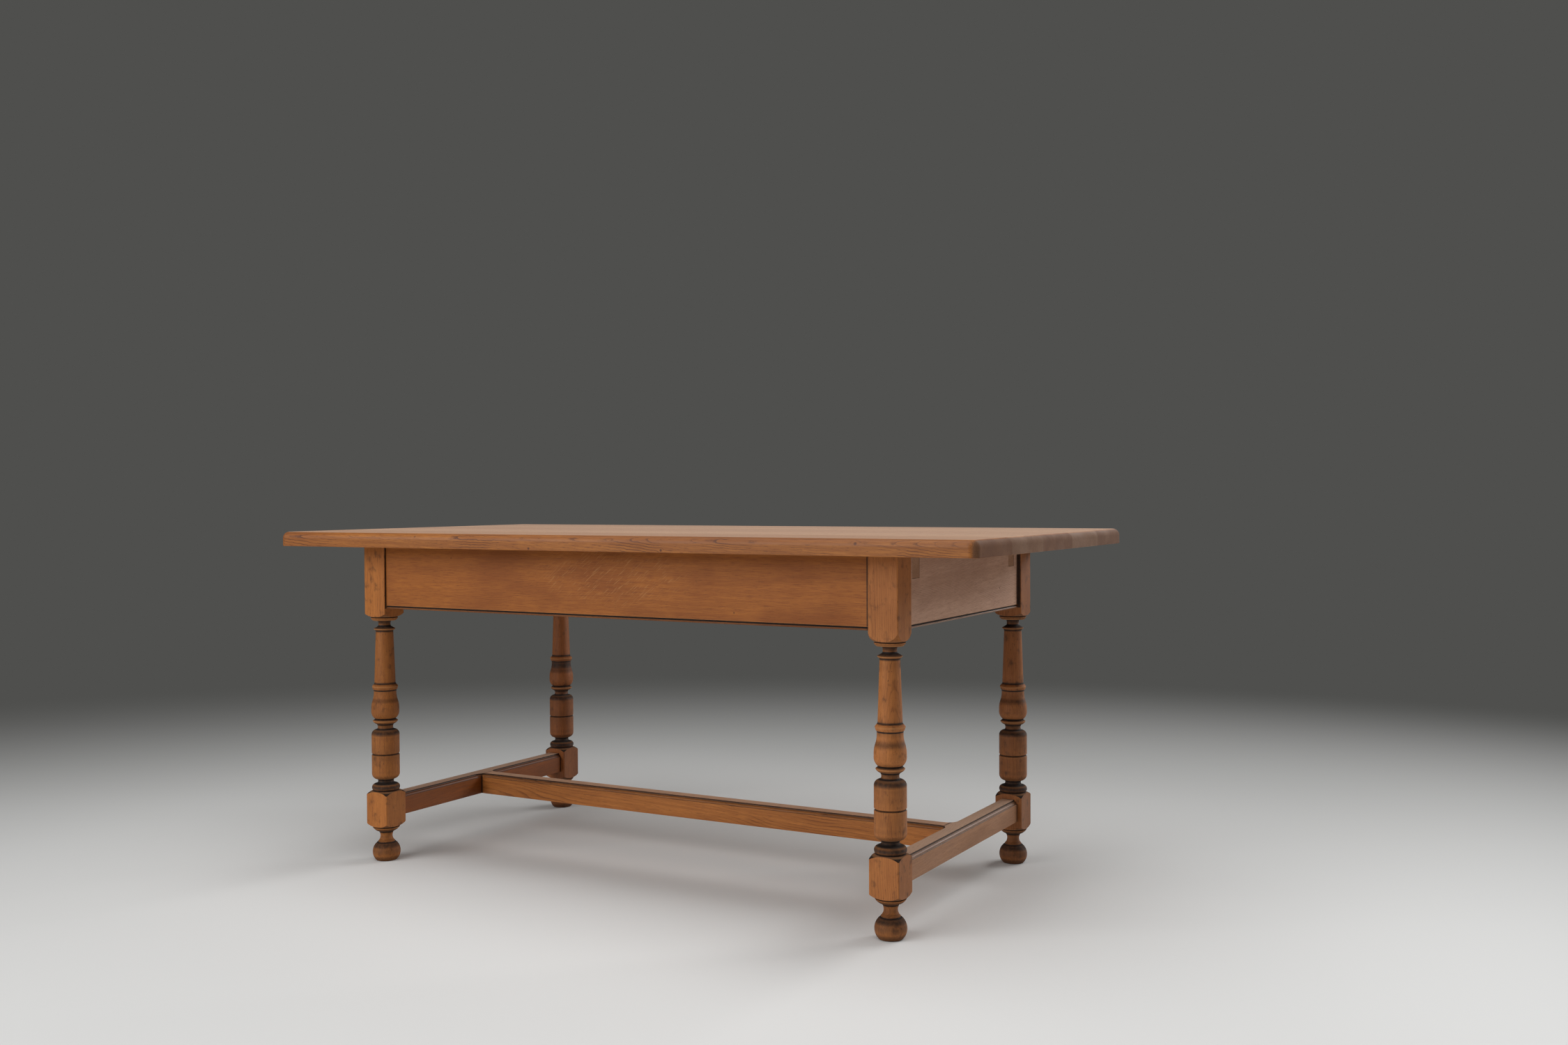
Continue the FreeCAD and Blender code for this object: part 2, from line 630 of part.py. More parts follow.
def make_end_stretcher(name, side):
    """Stretcher between two legs of one end, mortised for the centre stretcher."""
    rail = new_body(name, (leg_x * side, 0, 0))
    box(rail, "Additive", name + "_rail", (-half_rail, -inner_y, rail_bottom), (half_rail, inner_y, rail_top))
    round_edges(rail, name + "_ease", s.stretcher_ease, lambda edge: lower_edges_of(rail_bottom)(edge)
                and near(edge.Vertexes[0].X, edge.Vertexes[-1].X))
    outer = outline(rail, "XZ_Plane", name + "_outer_section", moulding_outline(half_rail * side, -side))
    run_cut(rail, outer, name + "_outer_moulding", (inner_y + OVERCUT) * 2)
    corner_y = half_rail + s.moulding_corner
    corner_x = -(half_rail + s.moulding_corner) * side
    run = inner_y - corner_y + OVERCUT
    for end in (-1, 1):
        section = moulding_outline(half_rail * -side, side)
        halfway = (corner_y + run / 2) * end
        sketch = outline(rail, "XZ_Plane", f"{name}_inner_section_{end + 1}", section, (0, 0, -halfway))
        run_cut(rail, sketch, f"{name}_inner_moulding_{end + 1}", run)
        inside_corner(rail, f"{name}_corner_{end + 1}", corner_x, corner_y * end)
        box(rail, "Additive", f"{name}_tenon_{end + 1}",
            (-half_tenon, inner_y * end, rail_tenon_low),
            (half_tenon, (inner_y + s.stretcher_tenon_length) * end, rail_tenon_high))
    cheek = half_tenon + s.joint_play
    bottom = half_rail - s.centre_tenon_length - s.joint_depth
    box(rail, "Subtractive", name + "_mortise",
        ((half_rail + OVERCUT) * -side, -cheek, rail_tenon_low - s.joint_play),
        (bottom * -side, cheek, rail_tenon_high + s.joint_play))


def make_centre_stretcher(name):
    """Stretcher along the middle of the table, tenoned into the end stretchers."""
    rail = new_body(name)
    box(rail, "Additive", name + "_rail",
        (-centre_reach, -half_rail, rail_bottom), (centre_reach, half_rail, rail_top))
    round_edges(rail, name + "_ease", s.stretcher_ease, lambda edge: lower_edges_of(rail_bottom)(edge)
                and near(edge.Vertexes[0].Y, edge.Vertexes[-1].Y))
    straight = centre_reach - s.moulding_corner
    for side in (-1, 1):
        section = moulding_outline(half_rail * side, -side)
        sketch = outline(rail, "YZ_Plane", f"{name}_section_{side + 1}", section)
        run_cut(rail, sketch, f"{name}_moulding_{side + 1}", straight * 2)
        for end in (-1, 1):
            corner_y = (half_rail + s.moulding_corner) * side
            inside_corner(rail, f"{name}_corner_{side + 1}_{end + 1}", straight * end, corner_y)
    for end in (-1, 1):
        box(rail, "Additive", f"{name}_tenon_{end + 1}",
            (centre_reach * end, -half_tenon, rail_tenon_low),
            ((centre_reach + s.centre_tenon_length) * end, half_tenon, rail_tenon_high))


def joint_at(index):
    """Where the joint after a board lies across the table."""
    return board_width * (index - BOARDS / 2)


def make_board(index):
    """One board of the top, grooved for its tongues, with its share of the rounded outline."""
    name = f"top_board_{index + 1}"
    low_y, high_y = joint_at(index), joint_at(index + 1)
    board = new_body(name)
    box(board, "Additive", name + "_blank",
        (-half_top_length, low_y, leg_height), (half_top_length, high_y, s.table_height))

    def on_outline(edge):
        point = middle(edge)
        at_end = abs(point.x) > half_top_length.value - corner_radius.value
        return at_end or near(abs(point.y), half_top_width.value)

    if index in (0, BOARDS - 1):
        round_edges(board, name + "_corners", corner_radius,
                    lambda edge: upright(edge) and near(abs(middle(edge).y), half_top_width.value))
    round_edges(board, name + "_upper_edge", s.top_edge_round,
                lambda edge: near(middle(edge).z, s.table_height.value) and on_outline(edge))
    round_edges(board, name + "_lower_edge", s.top_lower_ease,
                lambda edge: near(middle(edge).z, leg_height.value) and on_outline(edge))
    reach = tongue_reach + s.tongue_play
    half_depth = s.tongue_width / 2 + s.tongue_play
    for joint, edge_y, inwards in ((index, low_y, 1), (index + 1, high_y, -1)):
        if 0 < joint < BOARDS:
            box(board, "Subtractive", f"{name}_groove_{joint}",
                (-reach, edge_y - OVERCUT * inwards, tongue_bottom - s.tongue_play),
                (reach, edge_y + half_depth * inwards, tongue_bottom + s.tongue_thickness + s.tongue_play))
    hole_radius = s.screw_dia / 2 + s.screw_play
    for number, (x, y, _) in enumerate(button_places()):
        if low_y.value - hole_radius.value < y.value < high_y.value + hole_radius.value:
            cylinder(board, "Subtractive", f"{name}_screw_hole_{number}", (x, y, leg_height - OVERCUT),
                     hole_radius, screw_tip - leg_height + OVERCUT + s.screw_play)


def make_tongue(joint):
    """Loose tongue between two boards."""
    name = f"board_tongue_{joint}"
    half = s.tongue_width / 2
    box(new_body(name), "Additive", name + "_strip", (-tongue_reach, joint_at(joint) - half, tongue_bottom),
        (tongue_reach, joint_at(joint) + half, tongue_bottom + s.tongue_thickness))


def make_bearer(name, side):
    """Cross bearer housed in the long aprons and notched for all four lopers."""
    bearer = new_body(name)
    reach = long_inside + s.bearer_housing
    bottom = leg_height - s.bearer_height
    box(bearer, "Additive", name + "_bar",
        (bearer_inside * side, -reach, bottom), (bearer_outside * side, reach, leg_height))
    for label, place in loper_places.items():
        for end in (-1, 1):
            middle_y = place * end
            box(bearer, "Subtractive", f"{name}_{label}_notch_{end + 1}",
                ((bearer_inside - OVERCUT) * side, middle_y - half_notch, notch_bottom),
                ((bearer_outside + OVERCUT) * side, middle_y + half_notch, leg_height + OVERCUT))


def make_loper(end_name, side, depth_name, depth):
    """Loper that slides out of one end, and the peg that stops it between the bearers."""
    name = f"loper_{end_name}_{depth_name}"
    middle_y = loper_places[end_name] * depth
    half = s.loper_width / 2
    loper = new_body(name)
    box(loper, "Additive", name + "_bar",
        (end_face * side, middle_y - half, loper_bottom),
        ((bearer_outside + s.loper_tail) * -side, middle_y + half, loper_bottom + s.loper_height))
    peg_place = peg_home * -side
    cylinder(loper, "Subtractive", name + "_peg_hole", (peg_place, middle_y, loper_bottom - OVERCUT),
             s.peg_dia / 2 + s.peg_play, s.peg_seat + OVERCUT)
    peg_name = f"stop_peg_{end_name}_{depth_name}"
    cylinder(new_body(peg_name), "Additive", peg_name + "_dowel",
             (peg_place, middle_y, loper_bottom - s.peg_drop), s.peg_dia / 2, s.peg_drop + s.peg_seat)


def long_button_places():
    """Places of the buttons along the front and back aprons."""
    outer = inner_x - s.outer_buttons
    return [-outer, s.inner_buttons / -2, s.inner_buttons / 2, outer]


def button_places():
    """Screw of every button: x, y and the turn of the button about it, in degrees."""
    back = s.button_length / 2
    places = []
    for side, turned in ((-1, -90), (1, 90)):
        places += [(x, (long_inside - back) * side, turned) for x in long_button_places()]
    for side, turned in ((-1, 180), (1, 0)):
        places += [((end_inside - back) * side, s.end_buttons / 2 * end, turned) for end in (-1, 1)]
    return places


def button_pattern():
    """A button with its tongue towards +X and its screw hole on the Z axis, its upper face at z = 0."""
    button = doc.addObject("PartDesign::Body", "button_pattern")
    half_length, half_width = s.button_length / 2, s.button_width / 2
    box(button, "Additive", "button_block", (-half_length, -half_width, -s.button_height),
        (half_length, half_width, 0))
    box(button, "Additive", "button_tongue_block", (half_length, -half_width, -s.button_height),
        (half_length + s.button_tongue, half_width, s.button_tongue - s.button_height))
    cylinder(button, "Subtractive", "button_hole", (0, 0, -s.button_height - OVERCUT),
             s.screw_dia / 2 + s.screw_play, s.button_height + OVERCUT * 2)
    seat = button.newObject("PartDesign::SubtractiveCone", "button_countersink")
    seat.setExpression("Radius1", (s.screw_head_dia / 2 + s.screw_play).text)
    seat.setExpression("Radius2", (s.screw_dia / 2 + s.screw_play).text)
    seat.setExpression("Height", s.screw_head.text)
    seat.setExpression("Placement.Base.z", (-s.button_height).text)
    doc.recompute()
    return button


def screw_pattern():
    """A slotted countersunk screw that points up, its head flush with the lower face of the button."""
    screw = doc.addObject("PartDesign::Body", "screw_pattern")
    head = screw.newObject("PartDesign::AdditiveCone", "screw_head_cone")
    head.setExpression("Radius1", (s.screw_head_dia / 2).text)
    head.setExpression("Radius2", (s.screw_dia / 2).text)
    head.setExpression("Height", s.screw_head.text)
    head.setExpression("Placement.Base.z", (-s.button_height).text)
    doc.recompute()
    cylinder(screw, "Additive", "screw_shank", (0, 0, s.screw_head - s.button_height), s.screw_dia / 2,
             s.screw_length - s.screw_head)
    half = s.screw_head_dia / 2 + OVERCUT
    box(screw, "Subtractive", "screw_slot_cut", (-half, s.screw_slot / -2, -s.button_height - OVERCUT),
        (half, s.screw_slot / 2, s.screw_slot - s.button_height))
    return screw


def make_group(name, pattern):
    """Equal pieces, one at every button, kept together as separate solids."""
    copies = []
    for x, y, turned in button_places():
        copy = pattern.Shape.copy()
        copy.rotate(Vector(0, 0, 0), Vector(0, 0, 1), turned)
        copy.translate(Vector(x.value, y.value, leg_height.value))
        copies.append(copy)
    group = doc.addObject("Part::Feature", name)
    group.Label = name
    group.Shape = Part.makeCompound(copies)
    sub_parts.append(group)


def check_document():
    """Stop if an object failed, a cut took nothing away, or a sub-part has no valid solid."""
    for item in doc.Objects:
        if "Invalid" in item.State or "Error" in item.State:
            raise RuntimeError(f"{item.Name} failed: {item.State}")
        cuts = item.isDerivedFrom("PartDesign::Groove") or item.isDerivedFrom("PartDesign::Pocket")
        if cuts or "Subtractive" in item.TypeId:
            if item.Shape.Volume >= item.BaseFeature.Shape.Volume:
                raise RuntimeError(f"{item.Name} cuts nothing")
    for item in sub_parts:
        if item.Shape.isNull() or not item.Shape.isValid() or not item.Shape.Solids:
            raise RuntimeError(f"{item.Label} has no valid solid")


for width_name, front_back in (("front", -1), ("back", 1)):
    for length_name, left_right in (("left", -1), ("right", 1)):
        make_leg(f"leg_{width_name}_{length_name}", left_right, front_back)
    make_long_apron(f"apron_{width_name}", front_back)
for length_name, left_right in (("left", -1), ("right", 1)):
    make_end_apron(f"apron_{length_name}", left_right, loper_places[length_name])
    make_end_stretcher(f"stretcher_{length_name}", left_right)
    make_bearer(f"cross_bearer_{length_name}", left_right)
    for width_name, front_back in (("front", -1), ("back", 1)):
        make_loper(length_name, left_right, width_name, front_back)
make_centre_stretcher("stretcher_centre")
for board_index in range(BOARDS):
    make_board(board_index)
for joint_index in range(1, BOARDS):
    make_tongue(joint_index)
make_group("top_buttons", button_pattern())
make_group("button_screws", screw_pattern())
doc.recompute()
check_document()
os.makedirs("parts", exist_ok=True)
for sub_part in sub_parts:
    sub_part.Shape.exportStep(f"parts/{sub_part.Label}.step")
    print(sub_part.Label, len(sub_part.Shape.Solids), round(sub_part.Shape.Volume / 1000, 1), "cm3")
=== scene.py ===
# %% [markdown]
# # An oak refectory table
# The table is a joined oak frame: four turned legs, four aprons with a scratched bead, an H of
# moulded stretchers, a top of five boards, and lopers that slide out of the ends.
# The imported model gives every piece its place. This lesson gives each piece its finished shape
# and its waxed, antiqued oak.

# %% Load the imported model
import json
import math
from collections import namedtuple

import bmesh
import bpy
import numpy as np
from mathutils import Matrix, Vector

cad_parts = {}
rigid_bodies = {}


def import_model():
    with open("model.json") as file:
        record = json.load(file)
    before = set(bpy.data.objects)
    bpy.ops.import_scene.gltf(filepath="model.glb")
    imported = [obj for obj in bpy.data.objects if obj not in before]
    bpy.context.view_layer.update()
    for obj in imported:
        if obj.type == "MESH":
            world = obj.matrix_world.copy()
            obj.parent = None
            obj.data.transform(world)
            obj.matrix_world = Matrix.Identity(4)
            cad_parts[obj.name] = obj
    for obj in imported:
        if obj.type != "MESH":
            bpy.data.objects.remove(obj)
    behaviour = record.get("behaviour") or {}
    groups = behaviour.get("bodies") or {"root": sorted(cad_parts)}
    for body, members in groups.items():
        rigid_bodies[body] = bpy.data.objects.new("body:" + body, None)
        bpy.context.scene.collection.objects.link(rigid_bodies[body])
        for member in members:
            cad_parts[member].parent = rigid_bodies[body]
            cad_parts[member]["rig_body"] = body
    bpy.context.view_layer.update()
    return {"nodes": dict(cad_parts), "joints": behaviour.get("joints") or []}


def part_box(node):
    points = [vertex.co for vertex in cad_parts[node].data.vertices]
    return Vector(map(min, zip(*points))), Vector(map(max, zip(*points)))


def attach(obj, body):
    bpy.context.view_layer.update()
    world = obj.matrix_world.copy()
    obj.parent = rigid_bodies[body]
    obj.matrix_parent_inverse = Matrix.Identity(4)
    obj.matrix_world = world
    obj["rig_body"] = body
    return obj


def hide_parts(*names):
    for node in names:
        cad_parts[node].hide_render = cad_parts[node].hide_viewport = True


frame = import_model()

MM = 0.001
HAIR = 1e-6  # in metres: places nearer than this are one place
AXES = "XYZ"
scene = bpy.context.scene

# %% [markdown]
# ## Small tools
# A colour is easiest to pick as an sRGB hex value, as a paint card gives it, but shaders work
# in linear light, so one function turns the one into the other. One more function adds a node
# with its settings and links, so that a material reads as a list of what it is made of.


# %% Colours and nodes
def linear(hex_colour):
    """Linear RGBA of an sRGB hex colour."""
    channels = [int(hex_colour[i:i + 2], 16) / 255 for i in (1, 3, 5)]
    return [c / 12.92 if c <= 0.04045 else ((c + 0.055) / 1.055) ** 2.4 for c in channels] + [1.0]


def add(tree, kind, sockets=None, out=0, **settings):
    """Add a node and return one of its outputs, or the node itself if it has none.

    Each socket takes a value, or the output that feeds it.
    """
    node = tree.nodes.new(kind)
    for key, setting in settings.items():
        setattr(node, key, setting)
    for key, value in (sockets or {}).items():
        if isinstance(value, bpy.types.NodeSocket):
            tree.links.new(value, node.inputs[key])
        else:
            node.inputs[key].default_value = value
    return node.outputs[out] if node.outputs else node


print("honey oak in linear light", [round(c, 3) for c in linear("#a96c3c")])

# %% [markdown]
# ## Waxed oak
# Oak is ring-porous. Each year starts with a band of open pores, which take stain and look like
# dark dashes along the grain, and ends with dense, paler wood. Medullary rays cross the rings and
# show as pale flecks where a board is cut towards the heart, and end grain drinks more stain than
# the rest and goes dull.
# A picture of wood wrapped round a leg would show the same face on every side. Rings drawn in
# space about a heart line, which lies outside each piece as it does in a sawn board, give long
# lines on the faces and arcs on the ends without any seams, so the grain is made that way.
# The maker rubbed a dark glaze over the whole table and wiped it off the proud parts. A mesh
# attribute for glaze and shade says where it stayed, and on the legs it also carries painted shade
# where less light falls; one called worn says where the wiping went down to paler wood. Use has left
# blotches, nicks and specks, most of all on the legs, and the faces that look up are painted paler,
# a painted sheen of the wax.

# %% What the oak is made of
# The glaze colour also paints shade on the legs.
GLAZE_AND_SHADE = "#1b110c"
STAIN = "#4f240c"
BARE = "#c18a56"
# The pale colour below is a painted sheen of the wax, laid on faces that look up.
PAINTED_SHEEN = "#dcbfa8"
END_GRAIN = "#5c4638"

# Width across the grain and length along it in mm, then detail. Real pores are 0.3 mm wide, too
# fine to show, so they are drawn three times as coarse.
GRAINS = {
    "streak": (5, 240, 4.0),
    "fine": (1.4, 34, 2.0),
    "pore": (0.9, 13, 2.0),
    "band": (30, 800, 2.0),
    "cloud": (80, 190, 3.0),
    "blotch": (15, 20, 4.0),
    "grime": (6, 8, 3.0),
    "nick": (2.6, 8, 1.0),
    "speck": (1.3, 1.8, 1.0),
}

# How wide a year is and how far the heart line sways in mm, how strongly the wax reflects, and
# how much shows of each layer, the painted sheen on faces that look up among them.
Figure = namedtuple(
    "Figure", "year sway sheen rings streaks bands fine pores clouds blotches nicks specks faded")
RAILS = Figure(year=2.6, sway=70, sheen=0.35, rings=0.45, streaks=0.34, bands=0.2, fine=0.50,
               pores=0.45, clouds=0.35, blotches=0.0, nicks=0.2, specks=0.0, faded=0.5)
FLAMED = RAILS._replace(year=5.0, sway=90, rings=0.5, streaks=0.6)
TURNED = RAILS._replace(sway=30, rings=0.26, bands=0.0, fine=0.58, clouds=0.50, blotches=0.5,
                        nicks=0.55, specks=0.45, faded=0.0)
QUARTERED = RAILS._replace(sway=50, rings=0.28, bands=0.0, fine=0.62, pores=0.42, clouds=0.62,
                           specks=0.06, faded=0.0)
BOARDS = RAILS._replace(year=2.0, sway=32, sheen=0.5, rings=0.85, streaks=0.70, bands=0.7,
                        fine=0.75, pores=0.75, clouds=0.30, faded=0.46)
print("year ring", BOARDS.year, "mm, pore", GRAINS["pore"][0], "mm")


# %% Noises along the grain
def grain_noises(tree, place, along, heart, lean):
    """Noises that are long along the grain and narrow across it, by name."""
    noises = {}
    for grain, (across, length, detail) in GRAINS.items():
        sizes = [(length if axis == along else across) * MM for axis in AXES]
        fitted = add(tree, "ShaderNodeMapping", {"Vector": place, "Location": heart,
                                                 "Rotation": lean, "Scale": sizes},
                     vector_type="TEXTURE")
        noises[grain] = add(tree, "ShaderNodeTexNoise",
                            {"Vector": fitted, "Scale": 1.0, "Detail": detail})
    return noises


print("noises", ", ".join(GRAINS))

# %% Year rings and knots
RADIANS_PER_METRE = 20  # a wave texture of scale 1 turns this much in a metre
SWAY_ACROSS, SWAY_ALONG = 140, 700
KNOT_CORE = 0.3  # the share of a knot's size that is dark all through
KNOT_REACH, KNOT_PUSH = 7, 0.8  # how far off rings bend round a knot, and by how much, in its sizes


def year_rings(tree, place, along, heart, lean, figure, knots):
    """How far through its year each point grew, from 0 to 1, and a mask for each knot.

    The heart line sways as a tree does, and the rings bend round each knot.
    """
    sizes = [(SWAY_ALONG if axis == along else SWAY_ACROSS) * MM for axis in AXES]
    fitted = add(tree, "ShaderNodeMapping", {"Vector": place, "Location": heart, "Scale": sizes},
                 vector_type="TEXTURE")
    sway = add(tree, "ShaderNodeTexNoise", {"Vector": fitted, "Scale": 1.0, "Detail": 2.0}, out=1)
    sway = add(tree, "ShaderNodeVectorMath", {0: sway, 1: (0.5, 0.5, 0.5)}, operation="SUBTRACT")
    sway = add(tree, "ShaderNodeVectorMath", {0: sway, "Scale": figure.sway * MM}, operation="SCALE")
    ringed = add(tree, "ShaderNodeMapping", {"Vector": place, "Location": heart, "Rotation": lean},
                 vector_type="TEXTURE")
    ringed = add(tree, "ShaderNodeVectorMath", {0: ringed, 1: sway}, operation="ADD")
    cores = []
    for x, y, z, size in knots:
        knot = Vector((x, y, z)) * MM
        away = add(tree, "ShaderNodeVectorMath", {0: place, 1: knot}, operation="SUBTRACT")
        distance = add(tree, "ShaderNodeVectorMath", {0: away}, out="Value", operation="LENGTH")
        core = add(tree, "ShaderNodeMapRange", {"Value": distance, "From Min": size * MM,
                                                "From Max": KNOT_CORE * size * MM},
                   interpolation_type="SMOOTHSTEP")
        cores.append(core)
        push = add(tree, "ShaderNodeMapRange", {"Value": distance, "From Max": 0.0,
                                                "From Min": KNOT_REACH * size * MM,
                                                "To Max": -KNOT_PUSH * size * MM},
                   interpolation_type="SMOOTHSTEP")
        away = add(tree, "ShaderNodeVectorMath", {0: away}, operation="NORMALIZE")
        away = add(tree, "ShaderNodeVectorMath", {0: away, "Scale": push}, operation="SCALE")
        ringed = add(tree, "ShaderNodeVectorMath", {0: ringed, 1: away}, operation="ADD")
    ring_scale = 2 * math.pi / (RADIANS_PER_METRE * figure.year * MM)
    year = add(tree, "ShaderNodeTexWave", {"Vector": ringed, "Scale": ring_scale,
                                           "Distortion": 3.0, "Detail": 2.0, "Detail Scale": 0.3},
               out=1, wave_type="RINGS", rings_direction=along, wave_profile="SAW")
    return year, cores


print("a ring every", RAILS.year, "mm about a heart line that sways by", RAILS.sway, "mm")

# %% Ray flecks
FLECK_SHARE = 0.48
FLECK_WIDTH, FLECK_DEPTH, FLECK_LENGTH = 1.5, 4.5, 26
FLECK_SLANT = math.radians(38)


def ray_flecks(tree, place, middle, reach):
    """A mask of slanting rays that thin out from the middle of a patch, given in mm."""
    sizes = [FLECK_LENGTH * MM, FLECK_DEPTH * MM, FLECK_WIDTH * MM]
    fitted = add(tree, "ShaderNodeMapping", {"Vector": place, "Rotation": (0, -FLECK_SLANT, 0),
                                             "Scale": sizes}, vector_type="TEXTURE")
    ray = add(tree, "ShaderNodeTexNoise", {"Vector": fitted, "Scale": 1.0, "Detail": 1.0})
    ray = add(tree, "ShaderNodeMapRange", {"Value": ray, "From Min": 0.58, "From Max": 0.70},
              interpolation_type="SMOOTHSTEP")
    away = add(tree, "ShaderNodeMapping", {"Vector": place, "Location": Vector(middle) * MM,
                                           "Scale": Vector(reach) * MM}, vector_type="TEXTURE")
    away = add(tree, "ShaderNodeVectorMath", {0: away}, out="Value", operation="LENGTH")
    patch = add(tree, "ShaderNodeMapRange", {"Value": away, "From Min": 1.0, "From Max": 0.2},
                interpolation_type="SMOOTHSTEP")
    return add(tree, "ShaderNodeMath", {0: ray, 1: patch}, operation="MULTIPLY")


print("flecks", FLECK_WIDTH, "by", FLECK_LENGTH, "mm")

# %% The oak material
END_RISE = 0.35  # how gradually a face turns into end grain
KNOT_SHARE = 0.85
WEAR_SHARE = 0.85
WAX_ROUGH = 0.46, 0.60
GLAZE_ROUGH = 0.1
END_ROUGH = 0.45
PORE_DEPTH = 0.1
OAK_IOR = 1.48


def oak(name, along, heart, pale, deep, figure, lean=(0, 0, 0), knots=(), flecks=None,
        end_share=0.7, end_from=0.6):
    """Waxed oak with its grain along an axis. The heart is a point of its heart line, in mm."""
    material = bpy.data.materials.new(name)
    material.use_nodes = True
    tree = material.node_tree
    tree.nodes.clear()
    place = add(tree, "ShaderNodeTexCoord", out="Object")
    heart = Vector(heart) * MM
    noises = grain_noises(tree, place, along, heart, lean)
    year, cores = year_rings(tree, place, along, heart, lean, figure, knots)

    # Ring lines come and go in broad clouds. Pores crowd at the start of a year.
    broken = add(tree, "ShaderNodeMapRange", {"Value": noises["cloud"], "From Min": 0.38,
                                              "From Max": 0.60, "To Min": 0.62},
                 interpolation_type="SMOOTHSTEP")
    ring_line = add(tree, "ShaderNodeMath", {0: year, 1: broken}, operation="MULTIPLY")
    early = add(tree, "ShaderNodeMapRange", {"Value": year, "From Min": 0.5, "From Max": 0.97,
                                             "To Min": 0.3}, interpolation_type="SMOOTHSTEP")
    pore = add(tree, "ShaderNodeMapRange", {"Value": noises["pore"], "From Min": 0.53,
                                            "From Max": 0.66}, interpolation_type="SMOOTHSTEP")
    pore = add(tree, "ShaderNodeMath", {0: pore, 1: early}, operation="MULTIPLY")

    # Glaze, with the painted shade it carries on the legs, and wear are broken up by grime. End grain is
    # where a face looks along the grain.
    grime = add(tree, "ShaderNodeMapRange", {"Value": noises["grime"], "From Min": 0.3,
                                             "From Max": 0.65, "To Min": 0.85})
    glaze_and_shade = add(tree, "ShaderNodeAttribute", out="Fac", attribute_name="glaze_and_shade")
    glaze_and_shade = add(tree, "ShaderNodeMath", {0: glaze_and_shade, 1: grime}, operation="MULTIPLY")
    worn = add(tree, "ShaderNodeAttribute", out="Fac", attribute_name="worn")
    worn = add(tree, "ShaderNodeMath", {0: worn, 1: grime}, operation="MULTIPLY")
    normal = add(tree, "ShaderNodeNewGeometry", out="Normal")
    axis = [1.0 if a == along else 0.0 for a in AXES]
    end_face = add(tree, "ShaderNodeVectorMath", {0: normal, 1: axis}, out="Value",
                   operation="DOT_PRODUCT")
    end_face = add(tree, "ShaderNodeMath", {0: end_face}, operation="ABSOLUTE")
    top_face = add(tree, "ShaderNodeVectorMath", {0: normal, 1: (0, 0, 1)}, out="Value",
                   operation="DOT_PRODUCT")

    # Each layer: a mask, where it starts and is full, how much of it there is, and its colour.
    # Noises lie about 0.5, so the higher a layer starts, the less of the wood it covers.
    layers = [
        (noises["streak"], 0.35, 0.65, figure.streaks, deep),
        (noises["band"], 0.42, 0.62, figure.bands, deep),
        (noises["cloud"], 0.45, 0.70, figure.clouds, deep),
        (noises["fine"], 0.44, 0.66, figure.fine, deep),
        (end_face, end_from, end_from + END_RISE, end_share, END_GRAIN),
        (ring_line, 0.60, 0.97, figure.rings, STAIN),
        # Faces that look up are painted paler, a painted sheen of the wax.
        (top_face, 0.93, 0.999, figure.faded, PAINTED_SHEEN),
    ]
    if flecks:
        layers.append((ray_flecks(tree, place, *flecks), 0.0, 1.0, FLECK_SHARE, BARE))
    layers += [
        (pore, 0.0, 1.0, figure.pores, STAIN),
        (noises["blotch"], 0.55, 0.75, figure.blotches, GLAZE_AND_SHADE),
        (noises["nick"], 0.71, 0.75, figure.nicks, GLAZE_AND_SHADE),
        (noises["speck"], 0.68, 0.77, figure.specks, STAIN),
        # Glaze, and the painted shade on the legs, in the glaze colour.
        (glaze_and_shade, 0.0, 1.0, 1.0, GLAZE_AND_SHADE),
        (worn, 0.0, 1.0, WEAR_SHARE, BARE),
    ]
    layers += [(core, 0.0, 1.0, KNOT_SHARE, STAIN) for core in cores]
    body = linear(pale)
    for mask, start, end, share, colour in layers:
        amount = add(tree, "ShaderNodeMapRange", {"Value": mask, "From Min": start,
                                                  "From Max": end, "To Max": share},
                     interpolation_type="SMOOTHSTEP")
        body = add(tree, "ShaderNodeMix", {0: amount, 6: body, 7: linear(colour)}, out=2,
                   data_type="RGBA")

    # The wax is unevenly rubbed, glaze and end grain are duller, and the pores lie a little low.
    rough = add(tree, "ShaderNodeMapRange", {"Value": noises["cloud"], "From Min": 0.3,
                                             "From Max": 0.7, "To Min": WAX_ROUGH[0],
                                             "To Max": WAX_ROUGH[1]})
    rough = add(tree, "ShaderNodeMath", {0: glaze_and_shade, 1: GLAZE_ROUGH, 2: rough},
                operation="MULTIPLY_ADD")
    rough = add(tree, "ShaderNodeMath", {0: end_face, 1: END_ROUGH, 2: rough},
                operation="MULTIPLY_ADD")
    bump = add(tree, "ShaderNodeBump", {"Height": pore, "Strength": 0.3,
                                        "Distance": PORE_DEPTH * MM}, invert=True)
    shader = add(tree, "ShaderNodeBsdfPrincipled", {"Base Color": body, "Roughness": rough,
                                                    "Normal": bump, "IOR": OAK_IOR,
                                                    "Specular IOR Level": figure.sheen})
    add(tree, "ShaderNodeOutputMaterial", {"Surface": shader})
    return material


print("waxed oak, roughness", WAX_ROUGH)

# %% [markdown]
# ## Making a finished piece
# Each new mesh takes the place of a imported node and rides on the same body. Its faces are smooth
# and its corners stay crisp, with wide faces weighing more than narrow ones, so that a flat face
# beside a rounded arris still looks flat.

# %% Pieces
SHARP = math.radians(32)


def finish_piece(bm, name, node, material):
    """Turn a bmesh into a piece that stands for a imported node."""
    mesh = bpy.data.meshes.new(name)
    bm.to_mesh(mesh)
    bm.free()
    mesh.polygons.foreach_set("use_smooth", [True] * len(mesh.polygons))
    mesh.set_sharp_from_angle(angle=SHARP)
    mesh.materials.append(material)
    piece = bpy.data.objects.new(name, mesh)
    scene.collection.objects.link(piece)
    even = piece.modifiers.new("even_shading", "WEIGHTED_NORMAL")
    even.keep_sharp = True
    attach(piece, frame["nodes"][node]["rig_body"])
    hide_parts(node)
    return piece


